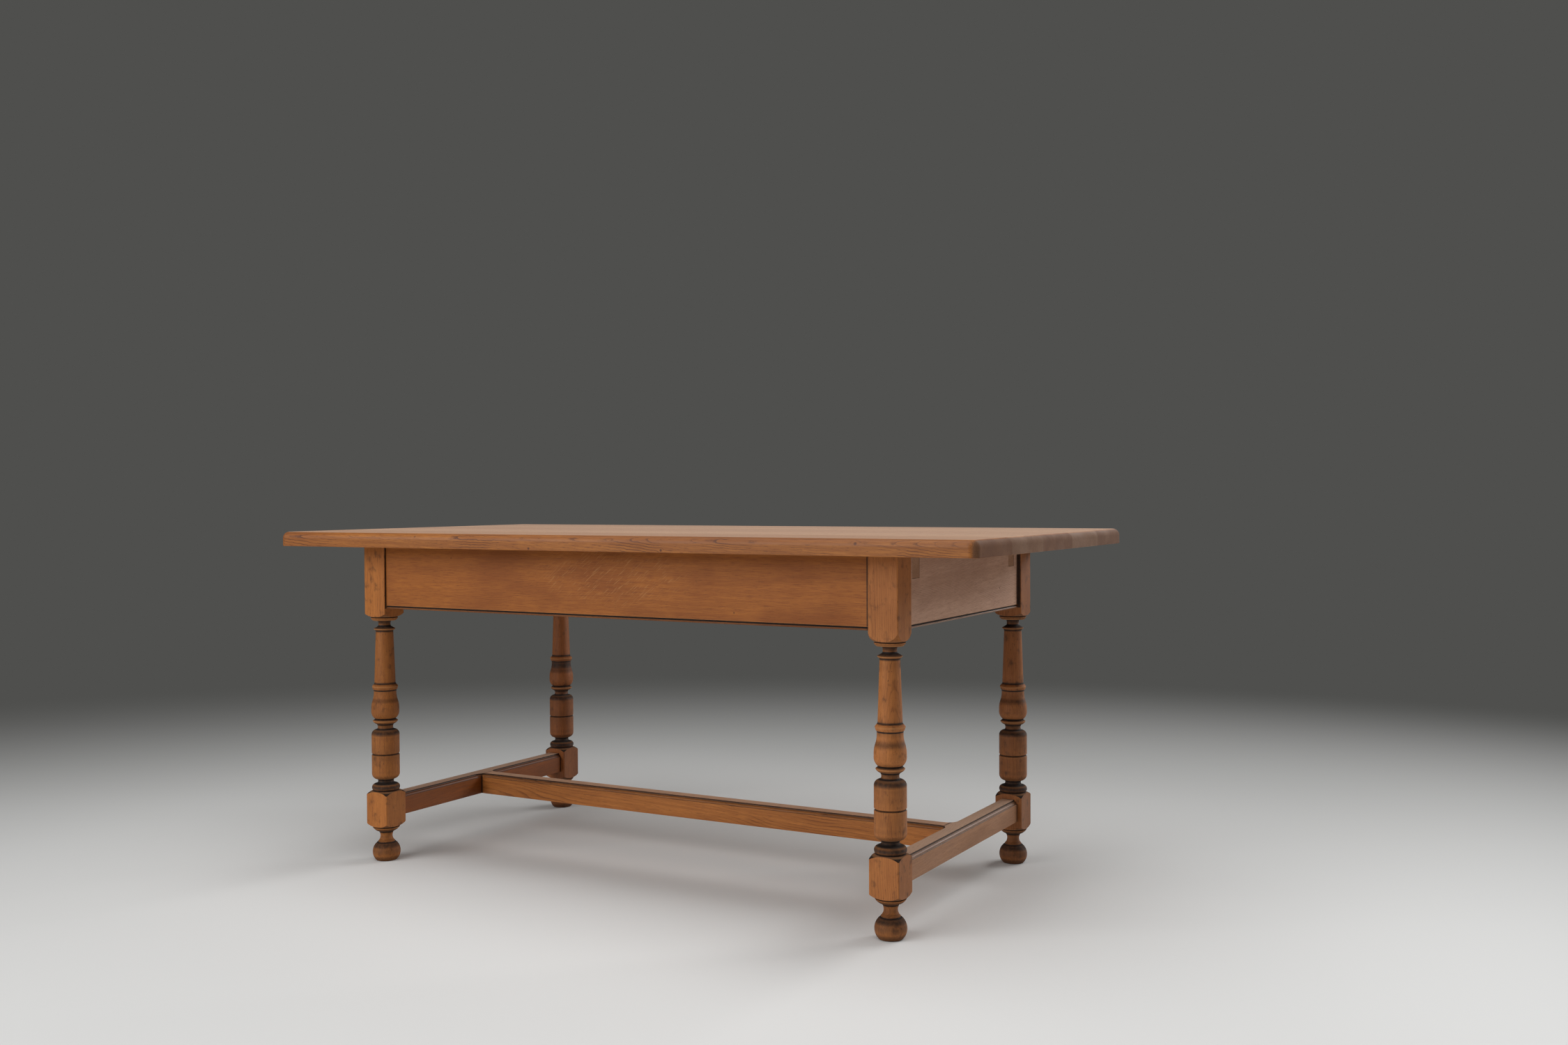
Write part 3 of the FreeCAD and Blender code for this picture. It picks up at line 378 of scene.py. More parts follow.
def paint(piece, name, share_of):
    """Store a share on every face corner, from the corners' places and their faces.

    What is handed to share_of is in mm: corners, then face centres and face normals.
    """
    mesh = piece.data
    corner_of = np.empty(len(mesh.loops), int)
    mesh.loops.foreach_get("vertex_index", corner_of)
    sides = np.empty(len(mesh.polygons), int)
    mesh.polygons.foreach_get("loop_total", sides)
    read = []
    for items, key in ((mesh.vertices, "co"), (mesh.polygons, "center"), (mesh.polygons, "normal")):
        values = np.empty(3 * len(items))
        items.foreach_get(key, values)
        read.append(values.reshape(-1, 3))
    points, centres, normals = read
    shares = share_of(points[corner_of] / MM, np.repeat(centres, sides, 0) / MM,
                      np.repeat(normals, sides, 0))
    layer = mesh.attributes.new(name, "FLOAT", "CORNER")
    layer.data.foreach_set("value", np.clip(shares, 0, 1))


print("corners sharper than", round(math.degrees(SHARP)), "degrees stay crisp")


# %% Mesh tools
def box_mesh(low, high):
    """A bmesh box between two corners, in metres."""
    bm = bmesh.new()
    size = Vector(high) - Vector(low)
    place = Matrix.Translation((Vector(low) + Vector(high)) / 2) @ Matrix.Diagonal((*size, 1))
    bmesh.ops.create_cube(bm, size=1, matrix=place)
    return bm


def upright(bm):
    """The upright edges of a box."""
    return [e for e in bm.edges if abs(e.verts[0].co.z - e.verts[1].co.z) > HAIR]


def edges_at(bm, axis, place):
    """The edges that lie at one place along an axis, in metres."""
    number = AXES.index(axis)
    return [e for e in bm.edges if all(abs(v.co[number] - place) < HAIR for v in e.verts)]


def ease(bm, edges, radius_mm, segments=3):
    """Round some edges."""
    bmesh.ops.bevel(bm, geom=list(edges), offset=radius_mm * MM, affect="EDGES", segments=segments,
                    profile=0.5, material=-1, clamp_overlap=True)


def slit(bm, axis, place_mm, above_mm=-1):
    """Add a line of vertices at one place along an axis, all round what lies above a height."""
    normal = [1 if a == axis else 0 for a in AXES]
    faces = [f for f in bm.faces if f.calc_center_median().z > above_mm * MM]
    edges = {e for f in faces for e in f.edges}
    corners = {v for f in faces for v in f.verts}
    bmesh.ops.bisect_plane(bm, geom=[*corners, *edges, *faces], dist=HAIR,
                           plane_co=[c * place_mm * MM for c in normal], plane_no=normal)


def cut(bm, other, operation):
    """Cut one bmesh with another, and return the result as a new bmesh."""
    objects = []
    for source in (bm, other):
        mesh = bpy.data.meshes.new("cut")
        source.to_mesh(mesh)
        source.free()
        objects.append(bpy.data.objects.new("cut", mesh))
        scene.collection.objects.link(objects[-1])
    work, tool = objects
    modifier = work.modifiers.new("cut", "BOOLEAN")
    modifier.object = tool
    modifier.operation = operation
    modifier.solver = "EXACT"
    bpy.context.view_layer.update()
    result = bmesh.new()
    result.from_object(work, bpy.context.evaluated_depsgraph_get())
    for item in objects:
        mesh = item.data
        bpy.data.objects.remove(item)
        bpy.data.meshes.remove(mesh)
    return result


# %% [markdown]
# ## The turned legs
# A leg is one square length of oak, turned between centres from the ball foot to the upper block.
# The lathe leaves a body of revolution, and the square blocks are what its tool never reached.
# So the profile is spun, wider than the blank where the blocks are, and then intersected with the
# square blank, which leaves the rounded shoulders of the blocks just as a lathe does. The upper
# block of the front right leg was turned with a rounder shoulder than the others.

# %% The profile of a leg
Turn = namedtuple("Turn", "radius height rise", defaults=(0.0,))  # in mm, with the rise of an arc
SQUARE_HALF = 31.5
PAST_SQUARE = 48  # further out than the corners of the square blank
SHOULDER = 30.5
LEG_TOP = 727
ARC_STEP = 1.6
LINE_STEP = 4.0
BELOW_UPPER_BLOCK = [
    Turn(0, 0), Turn(23, 0, 9.3),
    Turn(21, 41), Turn(19, 41), Turn(19, 43.5, -4.75),
    Turn(17.5, 66.5, 1.49), Turn(SHOULDER, 76.5), Turn(28.5, 77.75), Turn(SHOULDER, 79, 1.9),
    Turn(PAST_SQUARE, 92), Turn(PAST_SQUARE, 147.5, 1.9),
    Turn(SHOULDER, 160.5), Turn(28.5, 161.75), Turn(29.5, 163, 5.3),
    Turn(22, 177, -2.92), Turn(19.25, 187.5, 3.69),
    Turn(31.3, 201.5), Turn(31.3, 243), Turn(29.2, 245.75), Turn(31.3, 248.5), Turn(31.3, 291.5, 3.26),
    Turn(19.25, 302.5, -2.28), Turn(19.5, 315, 0.97),
    Turn(28, 321.7), Turn(28, 322.9), Turn(22.8, 327, 3.0),
    Turn(31.3, 347.5, 1.21), Turn(27.7, 371.5, -1.13), Turn(25.6, 394),
    Turn(27.2, 395), Turn(29.4, 402), Turn(23.8, 409),
    Turn(19.6, 530.5), Turn(24, 534.5), Turn(24, 535.7), Turn(14.3, 541.5, -1.05),
    Turn(15, 554.5), Turn(25.5, 554.5, 0.74), Turn(SHOULDER, 561), Turn(28.5, 562.25),
]
SHOULDERS = {
    "usual": [Turn(SHOULDER, 563.5, 1.9), Turn(PAST_SQUARE, 576.5)],
    "front_right": [Turn(SHOULDER, 563.5, 4.0), Turn(44, 588), Turn(PAST_SQUARE, 589)],
}
UPPER_BLOCK = [Turn(PAST_SQUARE, LEG_TOP), Turn(0, LEG_TOP)]


def along_arc(start, end):
    """Points from one turn towards the next, on an arc if the turn has a rise."""
    run, climb = end.radius - start.radius, end.height - start.height
    chord = math.hypot(run, climb)
    steps = max(1, round(chord / (ARC_STEP if start.rise else LINE_STEP)))
    for step in range(steps):
        t = step / steps
        lift = 0.0
        if start.rise:
            radius = (chord * chord / 4 + start.rise ** 2) / (2 * abs(start.rise))
            lift = math.sqrt(radius ** 2 - (chord * (t - 0.5)) ** 2) - radius + abs(start.rise)
            lift = math.copysign(lift, start.rise)
        yield start.radius + run * t + climb / chord * lift, start.height + climb * t - run / chord * lift


def outline(shoulder):
    """Radius and height of every point of a leg's profile with one of the shoulders."""
    turns = BELOW_UPPER_BLOCK + SHOULDERS[shoulder] + UPPER_BLOCK
    points = [point for pair in zip(turns, turns[1:]) for point in along_arc(*pair)]
    return points + [(turns[-1].radius, turns[-1].height)]


OUTLINES = {shoulder: outline(shoulder) for shoulder in SHOULDERS}
print("leg outline", len(OUTLINES["usual"]), "points")

# %% [markdown]
# ## Where the glaze stayed on a leg, and where shade is painted
# Glaze gathers in creases and is wiped off sharp rings, so both follow from how the outline bends
# within a few millimetres. Broader darkening, partly glaze and partly painted shade where less light
# falls, as on the ball foot, the shoulders of the drums and the neck under the upper block, is added
# in a few strokes of a height, a reach and a share.

# %% Glaze, painted shade and wear by height
ROW = 0.5
REACH = 3.0
CREASE_FULL = 0.9  # a crease this deep, in mm within the reach, is full of glaze
WEAR_FROM, WEAR_SPAN, WEAR_MOST = 0.35, 2.2, 0.6
# The strokes are partly glaze and partly painted shade where less light reaches the turnings.
STROKES = [
    (5, 10, 0.66), (24, 16, 0.58), (36, 11, 0.85), (54, 9, 0.45), (70, 7, 0.65),  # ball foot
    (170, 8, 0.88), (178, 6, 0.8), (192, 9, 0.55),  # ring on the lower block
    (207, 10, 0.40), (225, 26, 0.36), (238, 12, 0.34),  # lower drum
    (254, 10, 0.30), (270, 26, 0.38), (283, 12, 0.42), (296, 9, 0.85),  # upper drum
    (310, 8, 0.6), (318, 5, 0.55), (330, 6, 0.35), (370, 9, 0.60), (390, 8, 0.3),  # neck and vase
    (412, 9, 0.25), (520, 14, 0.28),  # ends of the column
    (539, 4, 0.85), (549, 7, 0.72), (558, 4, 0.5),  # neck under the upper block
]
rows = np.arange(0, LEG_TOP + 1, ROW)
turned = OUTLINES["usual"][1:-1]
turned_radius = np.interp(rows, [z for _, z in turned], [r for r, _ in turned])
smooth_radius = np.minimum(turned_radius, SQUARE_HALF)
below, above = (np.interp(rows + reach, rows, smooth_radius) for reach in (-REACH, REACH))
crease = (below + above) / 2 - smooth_radius


def glazed(strokes):
    """Shares of glaze with painted shade, and of wear, at every row of a leg with these strokes."""
    stroke = np.zeros(len(rows))
    for middle, reach, share in strokes:
        stroke = np.maximum(stroke, share * np.exp(-((rows - middle) / reach) ** 2))
    glaze = np.maximum(np.clip(crease / CREASE_FULL, 0, 1), stroke)
    wear = np.clip((-crease - WEAR_FROM) / WEAR_SPAN, 0, WEAR_MOST)
    return glaze, wear * (1 - stroke)


print("creases", (crease > CREASE_FULL).sum() * ROW, "mm in all")

# %% The shape of a leg
LATHE_STEPS = 96
ARRIS = 3.2
SPARE = 0.02  # in metres, how far the square blank goes past the ends of the leg
apron_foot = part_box("apron_front")[0].z / MM
apron_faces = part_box("apron_right")[1].x / MM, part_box("apron_back")[1].y / MM


def leg_mesh(spot, axis, height):
    """Spin the profile and keep what lies inside the square blank.

    Slits round the upper block let the painted shade beside the aprons stop where the aprons start.
    """
    bm = bmesh.new()
    points = OUTLINES.get(spot, OUTLINES["usual"])
    rim = [bm.verts.new((r * MM, 0, z * MM)) for r, z in points]
    edges = [bm.edges.new(pair) for pair in zip(rim, rim[1:])]
    bmesh.ops.spin(bm, geom=rim + edges, cent=(0, 0, 0), axis=(0, 0, 1), angle=2 * math.pi,
                   steps=LATHE_STEPS, use_merge=True)
    bmesh.ops.remove_doubles(bm, verts=bm.verts, dist=HAIR)
    bmesh.ops.recalc_face_normals(bm, faces=bm.faces)
    half = SQUARE_HALF * MM
    blank = box_mesh((-half, -half, -SPARE), (half, half, height + SPARE))
    ease(blank, upright(blank), ARRIS)
    bm = cut(bm, blank, "INTERSECT")
    slit(bm, "Z", apron_foot)
    bmesh.ops.translate(bm, verts=bm.verts, vec=(axis.x * MM, axis.y * MM, 0))
    for way, apron_face, centre in zip("XY", apron_faces, axis):
        slit(bm, way, math.copysign(apron_face, centre), apron_foot)
    return bm


print("aprons start", round(apron_foot, 1), "mm up the legs")

# %% The four legs
Leg = namedtuple("Leg", "heart pale deep wash strokes")
LEGS = {
    "front_left": Leg((38, 52), "#b87233", "#985824", 0.36, [(246, 52, 0.47)]),
    "front_right": Leg((-46, 44), "#ba763d", "#9a5c2d", 0.0, [(350, 18, 0.1)]),
    "back_left": Leg((50, -40), "#98592a", "#7a441d", 0.22,
                     [(384, 14, 0.85), (345, 12, 0.25), (246, 52, 0.44)]),
    "back_right": Leg((-34, -56), "#a26535", "#824c25", 0.02, [(382, 12, 0.35), (345, 14, 0.2)]),
}
FACING = 0.9  # a face looks one way where that part of its normal is larger than this
UPRIGHT = 0.02  # and it stands upright where its normal climbs less than this
TOUCH = 0.05  # in mm, for faces that lie at a known place
UPPER_FROM = 400  # in mm, a height between the lower and the upper block
# Painted shade on the flat block faces that look along X, darker than the front faces.
UPPER_END_SHADE, LOWER_END_SHADE = 0.22, 0.36
CORNER_FROM, CORNER_FADE = 0.5, 3.0
LOW_SHOULDER = 140, 170
LOW_SHOULDER_GLAZE, SHOULDER_GLAZE = 0.97, 0.28
# The strip of a block that stands proud of an apron is painted dark: glaze in the joint and painted
# shade.
LEG_JOINT_GLAZE_AND_SHADE = 0.88


def turned_leg(spot):
    """One leg with its glaze, painted shade and wear."""
    node = "leg_" + spot
    leg = LEGS[spot]
    low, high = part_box(node)
    axis = (low + high) / 2 / MM
    heart = (axis.x + leg.heart[0], axis.y + leg.heart[1], 0)
    material = oak("oak_leg_" + spot, "Z", heart, leg.pale, leg.deep, TURNED)
    bm = leg_mesh(spot, axis, high.z)
    piece = finish_piece(bm, "turned_leg_" + spot, node, material)
    inward = np.array([-math.copysign(1, axis.x), -math.copysign(1, axis.y), 0])
    glaze_and_shade_at, wear_at = glazed(STROKES + leg.strokes)

    def sawn(centres, normals):
        offset = np.abs(centres[:, :2] - [axis.x, axis.y])
        on_square = (offset.max(1) > SQUARE_HALF - TOUCH) | (np.hypot(*offset.T) > SQUARE_HALF + ARRIS)
        return on_square & (np.abs(normals[:, 2]) < UPRIGHT)

    def glaze(corners, centres, normals):
        flat = sawn(centres, normals)
        height = corners[:, 2]
        share = np.maximum(np.interp(height, rows, glaze_and_shade_at), leg.wash)
        past = np.hypot(corners[:, 0] - axis.x, corners[:, 1] - axis.y) - SQUARE_HALF
        low_shoulder = (height > LOW_SHOULDER[0]) & (height < LOW_SHOULDER[1])
        shade = np.where(low_shoulder, LOW_SHOULDER_GLAZE, SHOULDER_GLAZE)
        shade = np.maximum(share, shade * np.clip(past / CORNER_FADE, 0, 1))
        share = np.where((past > CORNER_FROM) & ~flat, shade, share)
        # Flat faces that look along X get painted shade; the other flat faces stay clean.
        end_shade = np.where(height > UPPER_FROM, UPPER_END_SHADE, LOWER_END_SHADE)
        share = np.where(flat, end_shade * (np.abs(normals[:, 0]) > FACING), share)
        # The strip of a block beside an apron gets glaze and painted shade.
        faces_apron = (normals * inward)[:, :2] > FACING
        before_apron = (np.abs(centres[:, :2]) > apron_faces)[:, ::-1]
        beside_apron = flat & (centres[:, 2] > apron_foot) & (faces_apron & before_apron).any(1)
        return np.where(beside_apron, LEG_JOINT_GLAZE_AND_SHADE, share)

    def wear(corners, centres, normals):
        return np.where(sawn(centres, normals), 0.0, np.interp(corners[:, 2], rows, wear_at))

    paint(piece, "glaze_and_shade", glaze)
    paint(piece, "worn", wear)
    return piece


for leg_spot in LEGS:
    made = turned_leg(leg_spot)
    print(made.name, len(made.data.polygons), "faces")

# %% [markdown]
# ## The aprons
# An apron is a wide board, cut towards the heart so that it stays flat, with a bead scratched
# along its lower edge. It could be a box with a groove painted on, but the bead catches the light,
# so its section is drawn once and extruded between the legs. The end aprons are then notched for
# the lopers.

# %% Apron section
BEAD = 4.2
GROOVE = 2.8
LIP = 1.3
BEAD_STEPS = 8
APRON_EASE = 1.0


def apron_section(low_z, high_z, depth):
    """Section of an apron in mm: distance behind its face, and height."""
    radius = BEAD / 2
    groove = low_z + BEAD
    points = [(0, high_z), (0, groove + GROOVE + LIP), (0, groove + GROOVE),
              (GROOVE, groove + GROOVE), (GROOVE, groove)]
    for step in range(BEAD_STEPS + 1):
        turn = math.pi / 2 + math.pi * step / BEAD_STEPS
        points.append((radius + radius * math.cos(turn), low_z + radius + radius * math.sin(turn)))
    return points + [(depth - APRON_EASE, low_z), (depth, low_z + APRON_EASE), (depth, high_z)]


def extruded(corners, run):
    """Extrude a closed outline of points along a vector."""
    bm = bmesh.new()
    face = bm.faces.new([bm.verts.new(c) for c in corners])
    grown = bmesh.ops.extrude_face_region(bm, geom=[face])
    moved = [v for v in grown["geom"] if isinstance(v, bmesh.types.BMVert)]
    bmesh.ops.translate(bm, verts=moved, vec=run)
    bmesh.ops.recalc_face_normals(bm, faces=bm.faces)
    return bm


leg_low, leg_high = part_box("leg_front_right")
inner_x, inner_y = leg_low.x, -leg_high.y
print("between the legs", round(2 * inner_x / MM), "by", round(2 * inner_y / MM), "mm")

# %% The four aprons
APRON_TONES = {"front": ("#ac6728", "#87491b"), "back": ("#9c6132", "#7c4822"),
               "left": ("#a2704a", "#835535"), "right": ("#c79f86", "#aa8168")}
LONG_HEART, END_HEART = (14, 210), (60, 110)  # how far behind the face and below the lower edge
END_LEAN = (0.05, 0, 0)
FLECK_PATCH = ((15, -354, 672), (290, 400, 88))
APRON_KNOTS = {"front": [(-417, -354, 703, 2.2), (316, -354, 607, 2.5)], "right": [(666, 188, 634, 3.0)]}
NOTCH_PLAY = 0.5
NOTCH_DEPTH, NOTCH_ABOVE = 50, 10
APRON_SHADE = 4.7
GROOVE_SPILL = 0.6
BEHIND_FACE = 0.3
BEAD_GLAZE = 0.5
APRON_JOINT_GLAZE = 0.75
LIP_WEAR = 0.55


def notched(bm, side, face):
    """An end apron with notches for its two lopers."""
    play, depth, above = NOTCH_PLAY * MM, NOTCH_DEPTH * MM, NOTCH_ABOVE * MM
    for place in ("front", "back"):
        bar_low, bar_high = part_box(f"loper_{side}_{place}")
        notch = box_mesh((face - depth, bar_low.y - play, bar_low.z - play),
                         (face + depth, bar_high.y + play, bar_high.z + above))
        bm = cut(bm, notch, "DIFFERENCE")
    return bm


def apron(side):
    """One apron with its bead and, at the ends, its notches."""
    node = "apron_" + side
    low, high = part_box(node)
    lengthwise = side in ("front", "back")
    outward = -1 if side in ("front", "left") else 1
    across = 1 if lengthwise else 0
    reach = inner_x if lengthwise else inner_y
    face = low[across] if outward < 0 else high[across]
    corners = []
    for behind, height in apron_section(low.z / MM, high.z / MM, (high[across] - low[across]) / MM):
        level = face - outward * behind * MM
        corners.append((-reach, level, height * MM) if lengthwise else (level, -reach, height * MM))
    bm = extruded(corners, (2 * reach, 0, 0) if lengthwise else (0, 2 * reach, 0))
    knots = APRON_KNOTS.get(side, ())
    if lengthwise:
        heart = (0, face / MM - outward * LONG_HEART[0], low.z / MM - LONG_HEART[1])
        grain = oak("oak_apron_" + side, "X", heart, *APRON_TONES[side], QUARTERED, knots=knots,
                    flecks=FLECK_PATCH)
    else:
        bm = notched(bm, side, face)
        heart = (face / MM - outward * END_HEART[0], 0, low.z / MM - END_HEART[1])
        grain = oak("oak_apron_" + side, "Y", heart, *APRON_TONES[side], RAILS, lean=END_LEAN,
                    knots=knots)
    shade_from = reach / MM - APRON_SHADE
    slit(bm, AXES[1 - across], shade_from)
    piece = finish_piece(bm, "oak_apron_" + side, node, grain)
    groove = low.z / MM + BEAD

    def glaze(corners, centres, normals):
        height = centres[:, 2]
        behind = np.abs(corners[:, across] - face / MM)
        middle = np.abs(centres[:, across] - face / MM)
        beside_groove = (height > groove - GROOVE_SPILL) & (height < groove + GROOVE + TOUCH)
        in_groove = beside_groove & (middle > BEHIND_FACE) & (behind < GROOVE + LIP)
        joint = centres[:, 1 - across] > shade_from
        on_bead = (height < groove) & (middle < BEAD)
        return np.select([in_groove, joint, on_bead], [1.0, APRON_JOINT_GLAZE, BEAD_GLAZE], 0.0)

    def wear(corners, centres, normals):
        lip = (np.abs(corners[:, 2] - groove - GROOVE) < TOUCH) & (centres[:, 2] > groove + GROOVE)
        return np.where(lip, LIP_WEAR, 0.0)

    paint(piece, "glaze_and_shade", glaze)
    paint(piece, "worn", wear)
    return piece


for apron_side in APRON_TONES:
    made = apron(apron_side)
    print(made.name, len(made.data.polygons), "faces")

# %% [markdown]
# ## The stretchers
# The upper arrises of the stretchers carry a step, a small bead and a lip, which sweep round the
# inside corners of the H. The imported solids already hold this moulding, so a merged copy of each
# is dressed: glaze lies in the step and on the lip, less of it on the bead, and most of it where
# one piece meets another.

# %% The three stretchers
Stretcher = namedtuple("Stretcher", "pale deep figure heart lean")
CENTRE_HEART, CENTRE_LEAN = (0, 26, -45), (0, 0.045, 0.02)  # in mm from the middle of the lower face
SIDE_HEART, SIDE_LEAN = (40, 0, -60), (0.02, 0, 0.03)
STRETCHERS = {
    "left": Stretcher("#86460c", "#62320a", RAILS, SIDE_HEART, SIDE_LEAN),
    "right": Stretcher("#a67652", "#84593a", RAILS, SIDE_HEART, SIDE_LEAN),
    "centre": Stretcher("#bc7637", "#965722", FLAMED, CENTRE_HEART, CENTRE_LEAN),
}
JOINT_SHADE = 6.0
MOULDING_STEP = 3.5
MOULDING_ROUND = 5.5
STEP_GLAZE, ROUND_GLAZE, STRETCHER_JOINT_GLAZE = 0.82, 0.42, 0.97
FLAT = math.radians(0.4)


def merged_copy(node):
    """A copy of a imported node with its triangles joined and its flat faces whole."""
    bm = bmesh.new()
    bm.from_mesh(frame["nodes"][node].data)
    bmesh.ops.remove_doubles(bm, verts=bm.verts, dist=2 * HAIR)
    bmesh.ops.dissolve_limit(bm, angle_limit=FLAT, verts=bm.verts, edges=bm.edges)
    return bm


def stretcher(side):
    """One stretcher with glaze in its moulding and at its joints."""
    node = "stretcher_" + side
    look = STRETCHERS[side]
    low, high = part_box(node)
    lengthwise = side == "centre"
    along = 0 if lengthwise else 1
    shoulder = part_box("stretcher_right")[0].x / MM if lengthwise else inner_y / MM
    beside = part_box("stretcher_centre")[1].y / MM
    bm = merged_copy(node)
    dark_places = [shoulder - JOINT_SHADE, shoulder]
    if not lengthwise:
        dark_places += [beside, beside + JOINT_SHADE]
    for place in dark_places:
        slit(bm, AXES[along], -place)
        slit(bm, AXES[along], place)
    middle = (low + high) / 2 / MM
    heart = Vector((middle.x, middle.y, low.z / MM)) + Vector(look.heart)
    material = oak("oak_stretcher_" + side, AXES[along], heart, look.pale, look.deep, look.figure,
                   lean=look.lean)
    piece = finish_piece(bm, "oak_stretcher_" + side, node, material)
    step = high.z / MM
    bead_top = step - MOULDING_STEP
    lip = bead_top - MOULDING_ROUND

    def glaze(corners, centres, normals):
        height = centres[:, 2]
        on_lip = (np.abs(height - lip) < TOUCH) & (normals[:, 2] > FACING)
        on_step = (height > bead_top + TOUCH) & (height < step - TOUCH)
        on_bead = (height > lip + TOUCH) & (height < bead_top + TOUCH) & (np.abs(normals[:, 2]) > UPRIGHT)
        moulding = np.select([on_lip | on_step, on_bead], [STEP_GLAZE, ROUND_GLAZE], 0.0)
        out = np.abs(corners[:, along])
        joint = np.clip(1 - (shoulder - out) / JOINT_SHADE, 0, 1)
        if not lengthwise:
            inward = normals[:, 0] * np.sign(middle.x) < -FACING
            joint = np.maximum(joint, np.clip(1 - (out - beside) / JOINT_SHADE, 0, 1) * inward)
        return np.maximum(joint * STRETCHER_JOINT_GLAZE, moulding)

    paint(piece, "glaze_and_shade", glaze)
    return piece


for stretcher_side in STRETCHERS:
    made = stretcher(stretcher_side)
    print(made.name, len(made.data.polygons), "faces")

# %% [markdown]
# ## The top
# Five boards were glued edge to edge, and the outline was rounded over afterwards. So the whole
# top is shaped first, and is then sawn into its boards, which leaves the rounding running true
# from board to board. A hair of an easing at each joint gives the fine line that the eye sees.

# %% Shape the whole top
EDGE_ROUND = 15
CORNER_ROUND = 18
LOWER_EASE = 1.5
top_low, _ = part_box("top_board_1")
_, top_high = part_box("top_board_5")
whole_top = box_mesh(top_low, top_high)
ease(whole_top, upright(whole_top), CORNER_ROUND, 10)
ease(whole_top, edges_at(whole_top, "Z", top_high.z), EDGE_ROUND, 10)
ease(whole_top, edges_at(whole_top, "Z", top_low.z), LOWER_EASE, 2)
bmesh.ops.recalc_face_normals(whole_top, faces=whole_top.faces)
print("top", [round(c, 4) for c in top_high - top_low], len(whole_top.faces), "faces")

# %% Saw it into boards
# Each board's two tones, and how far its heart line lies across from its middle and up from its face.
Board = namedtuple("Board", "pale deep across up")
BOARD_LOOKS = [
    Board("#ab6a2b", "#8a4e1a", 70, -90), Board("#c08d66", "#a5744f", 0, -60),
    Board("#b37c54", "#966343", 150, -50), Board("#bd8b66", "#a2734f", -160, -40),
    Board("#b07c57", "#946545", 140, -70),
]
BOARD_LEAN = (0, 0.03, 0.015)
BOARD_END_FROM = 0.3
SEAM_EASE = 0.35
EDGE_KNOTS = [(-447, 754, 5), (-131, 731, 4), (199, 732, 4), (625, 751, 5)]


def top_board(number):
    """One board of the top, sawn out of the whole."""
    node = f"top_board_{number}"
    look = BOARD_LOOKS[number - 1]
    low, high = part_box(node)
    bm = whole_top.copy()
    seams = [(y, side) for y, side in ((low.y, -1), (high.y, 1))
             if top_low.y + HAIR < y < top_high.y - HAIR]
    for y, side in seams:
        bmesh.ops.bisect_plane(bm, geom=bm.verts[:] + bm.edges[:] + bm.faces[:], dist=HAIR,
                               plane_co=(0, y, 0), plane_no=(0, side, 0), clear_outer=True)
        bmesh.ops.holes_fill(bm, edges=[e for e in bm.edges if e.is_boundary], sides=0)
    ease(bm, [e for y, _ in seams for e in edges_at(bm, "Y", y)], SEAM_EASE, 1)
    heart = (0, (low.y + high.y) / 2 / MM + look.across, high.z / MM + look.up)
    knots = [(x, low.y / MM, z, size) for x, z, size in EDGE_KNOTS] if number == 1 else ()
    material = oak(f"oak_{node}", "X", heart, look.pale, look.deep, BOARDS, lean=BOARD_LEAN,
                   knots=knots, end_from=BOARD_END_FROM)
    return finish_piece(bm, f"oak_{node}", node, material)


for board_number in range(1, len(BOARD_LOOKS) + 1):
    made = top_board(board_number)
    print(made.name, len(made.data.polygons), "faces")
whole_top.free()

# %% [markdown]
# ## Lopers, bearers, buttons and screws
# A loper is a plain planed bar, so a box with eased arrises is the right shape. The bearers,
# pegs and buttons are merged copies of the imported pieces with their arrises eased, in oak that
# never saw the stain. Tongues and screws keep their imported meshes.

# %% Lopers
LOPER_EASE = 1.0
LOPER_TONES = "#b78e70", "#9a7154"
LOPER_HEART = 28, -45  # in mm, across and up from the middle of the bar
LOPER_END_SHARE = 0.1
for joint in frame["joints"]:
    loper_node = joint["child"]
    bar_low, bar_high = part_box(loper_node)
    bar = box_mesh(bar_low, bar_high)
    ease(bar, bar.edges[:], LOPER_EASE, 2)
    centre = (bar_low + bar_high) / 2 / MM
    heart = (0, centre.y + LOPER_HEART[0], centre.z + LOPER_HEART[1])
    bar_oak = oak("oak_" + loper_node, "X", heart, *LOPER_TONES, RAILS, end_share=LOPER_END_SHARE)
    finish_piece(bar, "oak_" + loper_node, loper_node, bar_oak)
    print(loper_node, round(bar_high.x - bar_low.x, 4), "m long")

# %% Bearers, pegs and buttons
HIDDEN_EASE = 0.6
HIDDEN_TONES = "#b98d60", "#9c7148"
CRISP = math.radians(50)
bearer_oak = oak("bare_oak_across", "Y", (0, 0, 560), *HIDDEN_TONES, RAILS)
button_oak = oak("bare_oak_along", "X", (0, 60, 640), *HIDDEN_TONES, RAILS)
hidden = [n for n in frame["nodes"] if n.startswith(("cross_bearer", "stop_peg", "top_buttons"))]
for node in hidden:
    bm = merged_copy(node)
    crisp = [e for e in bm.edges if len(e.link_faces) == 2 and e.calc_face_angle(0) > CRISP]
    ease(bm, crisp, HIDDEN_EASE, 2)
    hidden_oak = bearer_oak if "bearer" in node else button_oak
    made = finish_piece(bm, "eased_" + node, node, hidden_oak)
    print(made.name, len(made.data.polygons), "faces")
for node, packed in frame["nodes"].items():
    if node.startswith("board_tongue"):
        packed.data.materials.clear()
        packed.data.materials.append(button_oak)

# %% [markdown]
# ## Screw steel
# Wood screws are drawn steel wire with a rolled head. Old ones are grey, with a brownish film
# that is rough to the touch, so the colour and the roughness follow one fine noise.

